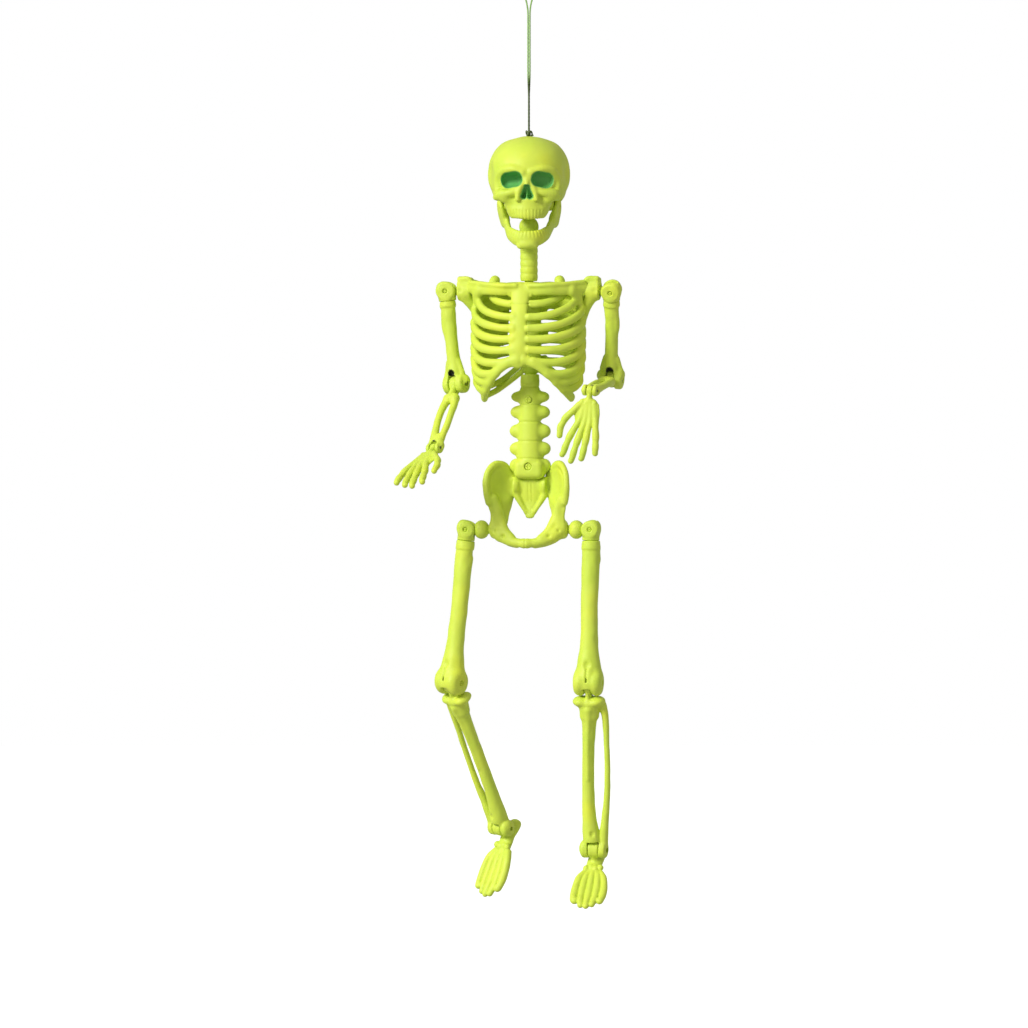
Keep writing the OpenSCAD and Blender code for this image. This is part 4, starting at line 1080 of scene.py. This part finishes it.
def add_head_pins(finish):
    """The jaw's two plain pins in one piece, and the neck's cross pin."""
    place = head_place()
    clay = Clay([-20, -1.5, -38], [20, 3.5, -33], 0.16)
    clay.add(both(drum([13.1, 1, JAW_PIN_Z], 0, 7.0, 0.9, 0.3)), 0)
    cast_pin(clay, place, "jaw_pins", "skull", finish)
    cast_pin(pin_clay([0, 0, NECK_PIN_Z], 0, 15, 0.9), place, "neck_pin", "skull", finish)


def add_spine_screws(finish):
    """Two cross-headed screws sunk in the front of the lumbar spine."""
    clay = Clay([-2.5, -3.5, -261], [2.5, 3, -219], 0.16)
    for z in SCREW_Z:
        y = LUMBAR_Y - 4.6
        clay.add(drum([0, y, z], 1, 0.9, 1.8, 0.3), 0)
        clay.add(drum([0, y + 2.4, z], 1, 4.4, 0.9, 0.1), 0.1)
        clay.carve(slab([-1.2, y - 1, z - 0.22], [1.2, y - 0.1, z + 0.22], 0.05), 0.05)
        clay.carve(slab([-0.22, y - 1, z - 1.2], [0.22, y - 0.1, z + 1.2], 0.05), 0.05)
    cast_pin(clay, body_place(), "spine_screws", "torso", finish)


# ---------------- string

STRING_D = 0.9
STRING_PITCH = 2.6      # length of one full twist
PLIES = 3
RING_POINTS = 12
# Half of the hanging loop, from the knot in the skull up to the eye, as in the CAD part.
STRAND = [(0, 0.5, -88), (0, 0.5, -84), (0, 0.5, -80), (0, 0.5, -74), (0, 0.5, -68), (0, 0.5, -62),
          (0.2, 0.45, -57), (0.4, 0.3, -52), (0.5, 0.1, -46), (0.5, 0, -40), (0.5, 0, -34),
          (0.5, 0, -28),
          (0.5, 0, -22), (0.6, 0, -17), (1.2, 0, -13), (2.2, 0, -9.5), (3, 0, -6), (2.8, 0, -2.8),
          (1.6, 0, -0.6)]


def yarn_mesh(name, path, material, shade):
    """A twisted yarn along a path in millimetres: a lobed ring at every point, turned as it goes."""
    around = RING_POINTS
    ahead = [unit(path[min(i + 1, len(path) - 1)] - path[max(i - 1, 0)]) for i in range(len(path))]
    side = unit(np.cross(ahead[0], [0.3, 1, 0.2]))
    gone, points = 0.0, []
    for i, at in enumerate(path):
        side = unit(side - ahead[i] * (side @ ahead[i]))
        over = np.cross(ahead[i], side)
        gone += 0 if i == 0 else np.linalg.norm(at - path[i - 1])
        for j in range(around):
            a = 2 * math.pi * j / around
            turn = PLIES / 2 * (a - 2 * math.pi * gone / STRING_PITCH)
            lobed = STRING_D / 2 * (0.84 + 0.16 * abs(math.cos(turn)))
            points.append(at + (side * math.cos(a) + over * math.sin(a)) * lobed)
    faces = []
    for i in range(len(path) - 1):
        here, above = i * around, (i + 1) * around
        for j in range(around):
            after = (j + 1) % around
            faces.append((here + j, here + after, above + after, above + j))
    last = (len(path) - 1) * around
    faces += [tuple(range(around - 1, -1, -1)), tuple(range(last, last + around))]
    mesh = bpy.data.meshes.new(name)
    mesh.from_pydata([tuple(p / 1000) for p in points], [], faces)
    mesh.polygons.foreach_set("use_smooth", [True] * len(mesh.polygons))
    mesh.attributes.new("paint", "FLOAT", "POINT").data.foreach_set("value", [shade(p) for p in points])
    mesh.materials.append(material)
    return new_object(name, mesh)


def add_string(twine):
    """One strand doubled: up from the knot in the skull, round the eye and back."""
    rows = list(STRAND) + [(0, 0, 0)] + [(-x, -y, z) for x, y, z in reversed(STRAND)]
    path = spline(rows, 10)
    piece = yarn_mesh("twisted_string", path, twine,
                      lambda p: min(1.0, max(0.0, (-50 - p[2]) / 6)))
    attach(piece, "hanger")
    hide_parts("hanging_string")


def add_knot(name, node, centre, size, tail, twine):
    """An overhand knot pulled tight, with the cut end of the string sticking out."""
    loops = []
    for t in np.linspace(0, 2 * math.pi, 90):
        loops.append([(math.sin(t) + 2 * math.sin(2 * t)) / 3, (math.cos(t) - 2 * math.cos(2 * t)) / 3,
                      -0.8 * math.sin(3 * t)])
    path = np.array(loops) * (np.asarray(size) - STRING_D / 2) + centre
    knot = yarn_mesh(name, path, twine, lambda p: 1.0)
    loose = spline([path[10], path[10] * 0.4 + np.asarray(tail) * 0.6, tail], 6)
    end = yarn_mesh(name + "_end", loose, twine, lambda p: 1.0)
    for piece in (knot, end):
        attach(piece, "hanger")
        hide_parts(node)


# ---------------- materials


class Material:
    """A new material, with the nodes that are built in it."""

    def __init__(self, name):
        self.data = bpy.data.materials.new(name)
        self.data.use_nodes = True
        self.nodes, self.links = self.data.node_tree.nodes, self.data.node_tree.links
        self.shader = self.nodes["Principled BSDF"]

    def noise(self, scale, detail=3.0, rough=0.5, stretch=(1, 1, 1)):
        """Noise in object space; scale is in features a metre."""
        where = self.nodes.new("ShaderNodeTexCoord")
        mapping = self.nodes.new("ShaderNodeMapping")
        mapping.inputs["Scale"].default_value = stretch
        texture = self.nodes.new("ShaderNodeTexNoise")
        texture.inputs["Scale"].default_value = scale
        texture.inputs["Detail"].default_value = detail
        texture.inputs["Roughness"].default_value = rough
        self.links.new(where.outputs["Object"], mapping.inputs["Vector"])
        self.links.new(mapping.outputs["Vector"], texture.inputs["Vector"])
        return texture.outputs["Fac"]

    def ramp(self, value, stops):
        """Colours along a value: stops are (position, (r, g, b))."""
        out = self.nodes.new("ShaderNodeValToRGB")
        while len(out.color_ramp.elements) < len(stops):
            out.color_ramp.elements.new(0.5)
        for element, (at, colour) in zip(out.color_ramp.elements, stops):
            element.position = at
            element.color = (*colour, 1)
        self.links.new(value, out.inputs["Fac"])
        return out.outputs["Color"]

    def mix(self, factor, a, b):
        """Blends colour a into colour b. Each value is a constant or a node's output."""
        out = self.nodes.new("ShaderNodeMix")
        out.data_type = "RGBA"
        # of this node's sockets, 6 and 7 are the colours A and B, and output 2 is the colour result
        for socket, value in ((out.inputs["Factor"], factor), (out.inputs[6], a), (out.inputs[7], b)):
            if hasattr(value, "links"):
                self.links.new(value, socket)
            else:
                socket.default_value = value if isinstance(value, float) else (*value, 1)
        return out.outputs[2]

    def ranged(self, value, low, high):
        """Maps a value from 0 to 1 onto low to high."""
        out = self.nodes.new("ShaderNodeMapRange")
        out.inputs["To Min"].default_value = low
        out.inputs["To Max"].default_value = high
        self.links.new(value, out.inputs["Value"])
        return out.outputs["Result"]

    def bumps(self, layers):
        """Stacks bump layers: (height, strength, distance in metres)."""
        below = None
        for height, strength, distance in layers:
            bump = self.nodes.new("ShaderNodeBump")
            bump.inputs["Strength"].default_value = strength
            bump.inputs["Distance"].default_value = distance
            self.links.new(height, bump.inputs["Height"])
            if below is not None:
                self.links.new(below, bump.inputs["Normal"])
            below = bump.outputs["Normal"]
        self.links.new(below, self.shader.inputs["Normal"])


def lime_plastic(name, paint=None):
    """Satin fluorescent yellow-green moulded plastic, with painted shade in its creases; marked zones take
    the given colours.
    """
    made = Material(name)
    shader = made.shader
    drift = made.noise(45, 2)
    mottle = made.noise(420, 4, 0.6)
    grain = made.noise(2600, 3, 0.65)
    colour = made.ramp(drift, [(0.3, (0.55, 0.71, 0.055)), (0.55, (0.62, 0.74, 0.065)),
                               (0.75, (0.70, 0.78, 0.045))])
    colour = made.mix(made.ranged(mottle, 0.0, 0.22), colour, (0.74, 0.82, 0.15))
    # painted shade: concave creases, found by the mesh's pointiness, are darkened to olive where shade falls
    shape = made.nodes.new("ShaderNodeNewGeometry")
    crease_shade = made.ranged(shape.outputs["Pointiness"], 1.0, 0.0)
    crease_shade.node.inputs["From Min"].default_value = 0.42
    crease_shade.node.inputs["From Max"].default_value = 0.50
    colour = made.mix(crease_shade, colour, (0.42, 0.54, 0.014))
    rough = made.ranged(mottle, 0.44, 0.62)
    if paint is not None:
        mark = made.nodes.new("ShaderNodeAttribute")
        mark.attribute_name = "paint"
        ragged = made.nodes.new("ShaderNodeMath")
        ragged.operation = "MULTIPLY_ADD"
        made.links.new(mottle, ragged.inputs[0])
        ragged.inputs[1].default_value = 0.7
        made.links.new(mark.outputs["Fac"], ragged.inputs[2])
        edge = made.ranged(ragged.outputs["Value"], 0.0, 1.0)
        edge.node.inputs["From Min"].default_value = 0.5
        edge.node.inputs["From Max"].default_value = 1.1
        # colours of the marked zone: green paint in the skull, near-black painted shade in an arm's wells
        paint_and_shade_colour = made.ramp(drift, paint)
        colour = made.mix(edge, colour, paint_and_shade_colour)
    made.links.new(colour, shader.inputs["Base Color"])
    made.links.new(rough, shader.inputs["Roughness"])
    shader.inputs["Specular IOR Level"].default_value = 0.35
    shader.inputs["Subsurface Weight"].default_value = 0.12
    shader.inputs["Subsurface Radius"].default_value = (0.0015, 0.0018, 0.0004)
    shader.inputs["Subsurface Scale"].default_value = 0.6
    made.bumps([(drift, 0.25, 0.0006), (mottle, 0.30, 0.00016), (grain, 0.28, 0.00005)])
    return made.data


def dull_steel():
    """Plated steel with stains and fine scratches."""
    made = Material("dull_plated_steel")
    shader = made.shader
    stain = made.noise(900, 4, 0.6)
    scratch = made.noise(1500, 3, 0.7, (1, 6, 1))
    made.links.new(made.ramp(stain, [(0.35, (0.10, 0.105, 0.10)), (0.6, (0.34, 0.35, 0.35)),
                                     (0.8, (0.48, 0.48, 0.46))]),
              shader.inputs["Base Color"])
    made.links.new(made.ranged(scratch, 0.25, 0.55), shader.inputs["Roughness"])
    shader.inputs["Metallic"].default_value = 1.0
    made.bumps([(scratch, 0.3, 0.00004), (stain, 0.3, 0.00006)])
    return made.data


def green_twine():
    """Waxed yarn: light green near the eye, darker towards the skull."""
    made = Material("green_twine")
    shader = made.shader
    fibre = made.noise(3000, 3, 0.7, (1, 1, 0.25))
    patch = made.noise(260, 3)
    mark = made.nodes.new("ShaderNodeAttribute")
    mark.attribute_name = "paint"
    light = made.ramp(fibre, [(0.35, (0.22, 0.42, 0.10)), (0.65, (0.42, 0.66, 0.20))])
    dark = made.ramp(fibre, [(0.35, (0.055, 0.075, 0.030)), (0.65, (0.14, 0.19, 0.07))])
    colour = made.mix(mark.outputs["Fac"], light, dark)
    colour = made.mix(made.ranged(patch, 0.0, 0.3), colour, (0.10, 0.13, 0.05))
    made.links.new(colour, shader.inputs["Base Color"])
    made.links.new(made.ranged(fibre, 0.7, 0.95), shader.inputs["Roughness"])
    shader.inputs["Specular IOR Level"].default_value = 0.2
    made.bumps([(fibre, 0.6, 0.00008), (patch, 0.2, 0.0001)])
    return made.data


# ---------------- studio


FLOOR_RADIUS, FLOOR_Z, FLOOR_SIDES = 14, -0.62, 64      # metres
ROOM_LIGHT = 0.42


def add_floor():
    """A wide white floor below the hanging figure."""
    made = Material("white_floor")
    shader = made.shader
    tone = made.noise(3, 2)
    made.links.new(made.ramp(tone, [(0.3, (0.52, 0.52, 0.52)), (0.7, (0.55, 0.55, 0.55))]),
              shader.inputs["Base Color"])
    shader.inputs["Roughness"].default_value = 0.9
    shader.inputs["Specular IOR Level"].default_value = 0.1
    shader.inputs["Emission Color"].default_value = (1, 1, 1, 1)
    seen = made.nodes.new("ShaderNodeLightPath")
    made.links.new(made.ranged(seen.outputs["Is Camera Ray"], 0.0, 0.72),
                   shader.inputs["Emission Strength"])
    mesh = bpy.data.meshes.new("floor")
    angles = np.linspace(0, 2 * math.pi, FLOOR_SIDES, endpoint=False)
    ring = [(FLOOR_RADIUS * math.cos(a), FLOOR_RADIUS * math.sin(a), FLOOR_Z) for a in angles]
    mesh.from_pydata(ring, [], [tuple(range(FLOOR_SIDES))])
    mesh.materials.append(made.data)
    floor = new_object("floor", mesh)


def add_sun(name, azimuth, elevation, strength, softness):
    """A soft distant light. Azimuth is in degrees from the front towards the figure's left."""
    a, e = math.radians(azimuth), math.radians(elevation)
    toward = Vector((math.sin(a) * math.cos(e), -math.cos(a) * math.cos(e), math.sin(e)))
    data = bpy.data.lights.new(name, "SUN")
    data.energy = strength
    data.angle = math.radians(softness)
    lamp = new_object(name, data)
    lamp.rotation_euler = toward.to_track_quat("Z", "Y").to_euler()


def add_light():
    """White surroundings, one soft key light and a weak fill."""
    scene = bpy.context.scene
    world = bpy.data.worlds.new("studio")
    world.use_nodes = True
    nodes, links = world.node_tree.nodes, world.node_tree.links
    room = nodes["Background"]
    room.inputs["Color"].default_value = (1, 1, 1, 1)
    room.inputs["Strength"].default_value = ROOM_LIGHT
    screen = nodes.new("ShaderNodeBackground")
    screen.inputs["Color"].default_value = (1, 1, 1, 1)
    screen.inputs["Strength"].default_value = 1.0
    choose = nodes.new("ShaderNodeMixShader")
    path = nodes.new("ShaderNodeLightPath")
    links.new(path.outputs["Is Camera Ray"], choose.inputs["Fac"])
    links.new(room.outputs["Background"], choose.inputs[1])
    links.new(screen.outputs["Background"], choose.inputs[2])
    links.new(choose.outputs["Shader"], nodes["World Output"].inputs["Surface"])
    scene.world = world
    add_sun("key", azimuth=-38, elevation=27, strength=3.0, softness=20)
    add_sun("fill", azimuth=50, elevation=10, strength=0.12, softness=60)
    scene.view_settings.view_transform = "Standard"
    scene.view_settings.look = "None"


# ---------------- the figure


def add_limbs(side, lime, lime_well_shade, steel, painted_steel):
    """One arm and one leg, with their pins."""
    places = limb_places(side)
    add_peg(places["shoulder_peg"], side + "_shoulder_peg", -13, None, lime)
    add_pivot_head(places["shoulder_head"], side + "_shoulder_head", 5.1, 9.4, 5.2, 1.3, lime)
    # upper arm and forearm carry near-black painted shade in their wells
    add_upper_arm(places["upper_arm"], side, lime_well_shade)
    add_forearm(places["forearm"], side, lime_well_shade)
    add_hand(places["hand"], side, lime)
    add_peg(places["hip_peg"], side + "_hip_peg", -18.3, -7.9, lime)
    add_pivot_head(places["hip_head"], side + "_hip_head", 4.7, 9.8, 5.8, 1.6, lime)
    add_thigh(places["thigh"], side, lime)
    add_shin(places["shin"], side, lime)
    add_foot(places["foot"], side, lime)
    add_limb_pins(side, places, steel, painted_steel)


def main():
    """Camera and string first, then the bones, the floor and the light."""
    add_camera()
    twine = green_twine()
    add_string(twine)
    add_knot("crown_knot_yarn", "crown_knot", [0, 0, CROWN + 2.2], [2.2, 1.9, 2.0],
             [2.4, 0.4, CROWN + 1.2], twine)
    add_knot("stop_knot_yarn", "stop_knot", [0, 0, CROWN - 5.0], [1.9, 1.9, 1.9],
             [0.8, 0.4, CROWN - 7.6], twine)
    lime = lime_plastic("lime_plastic_moulded")
    painted = lime_plastic("lime_plastic_painted", [(0.35, (0.11, 0.42, 0.10)),
                                                    (0.7, (0.22, 0.58, 0.15))])
    # painted shade: the wells at the elbow and the wrist are coloured near-black
    well_shade = lime_plastic("lime_plastic_well_shade", [(0.35, (0.010, 0.016, 0.008)),
                                                (0.7, (0.05, 0.06, 0.03))])
    steel = dull_steel()
    painted_steel = lime_plastic("lime_paint_over_steel")
    add_skull(painted)
    add_jaw(lime)
    add_neck(lime)
    add_head_pins(painted_steel)
    add_rib_cage(lime)
    add_lumbar_spine(lime)
    add_spine_screws(painted_steel)
    add_pelvis(lime)
    for side in ("left", "right"):
        add_shoulder_blade(side, lime)
        add_limbs(side, lime, well_shade, steel, painted_steel)
    add_floor()
    add_light()


main()
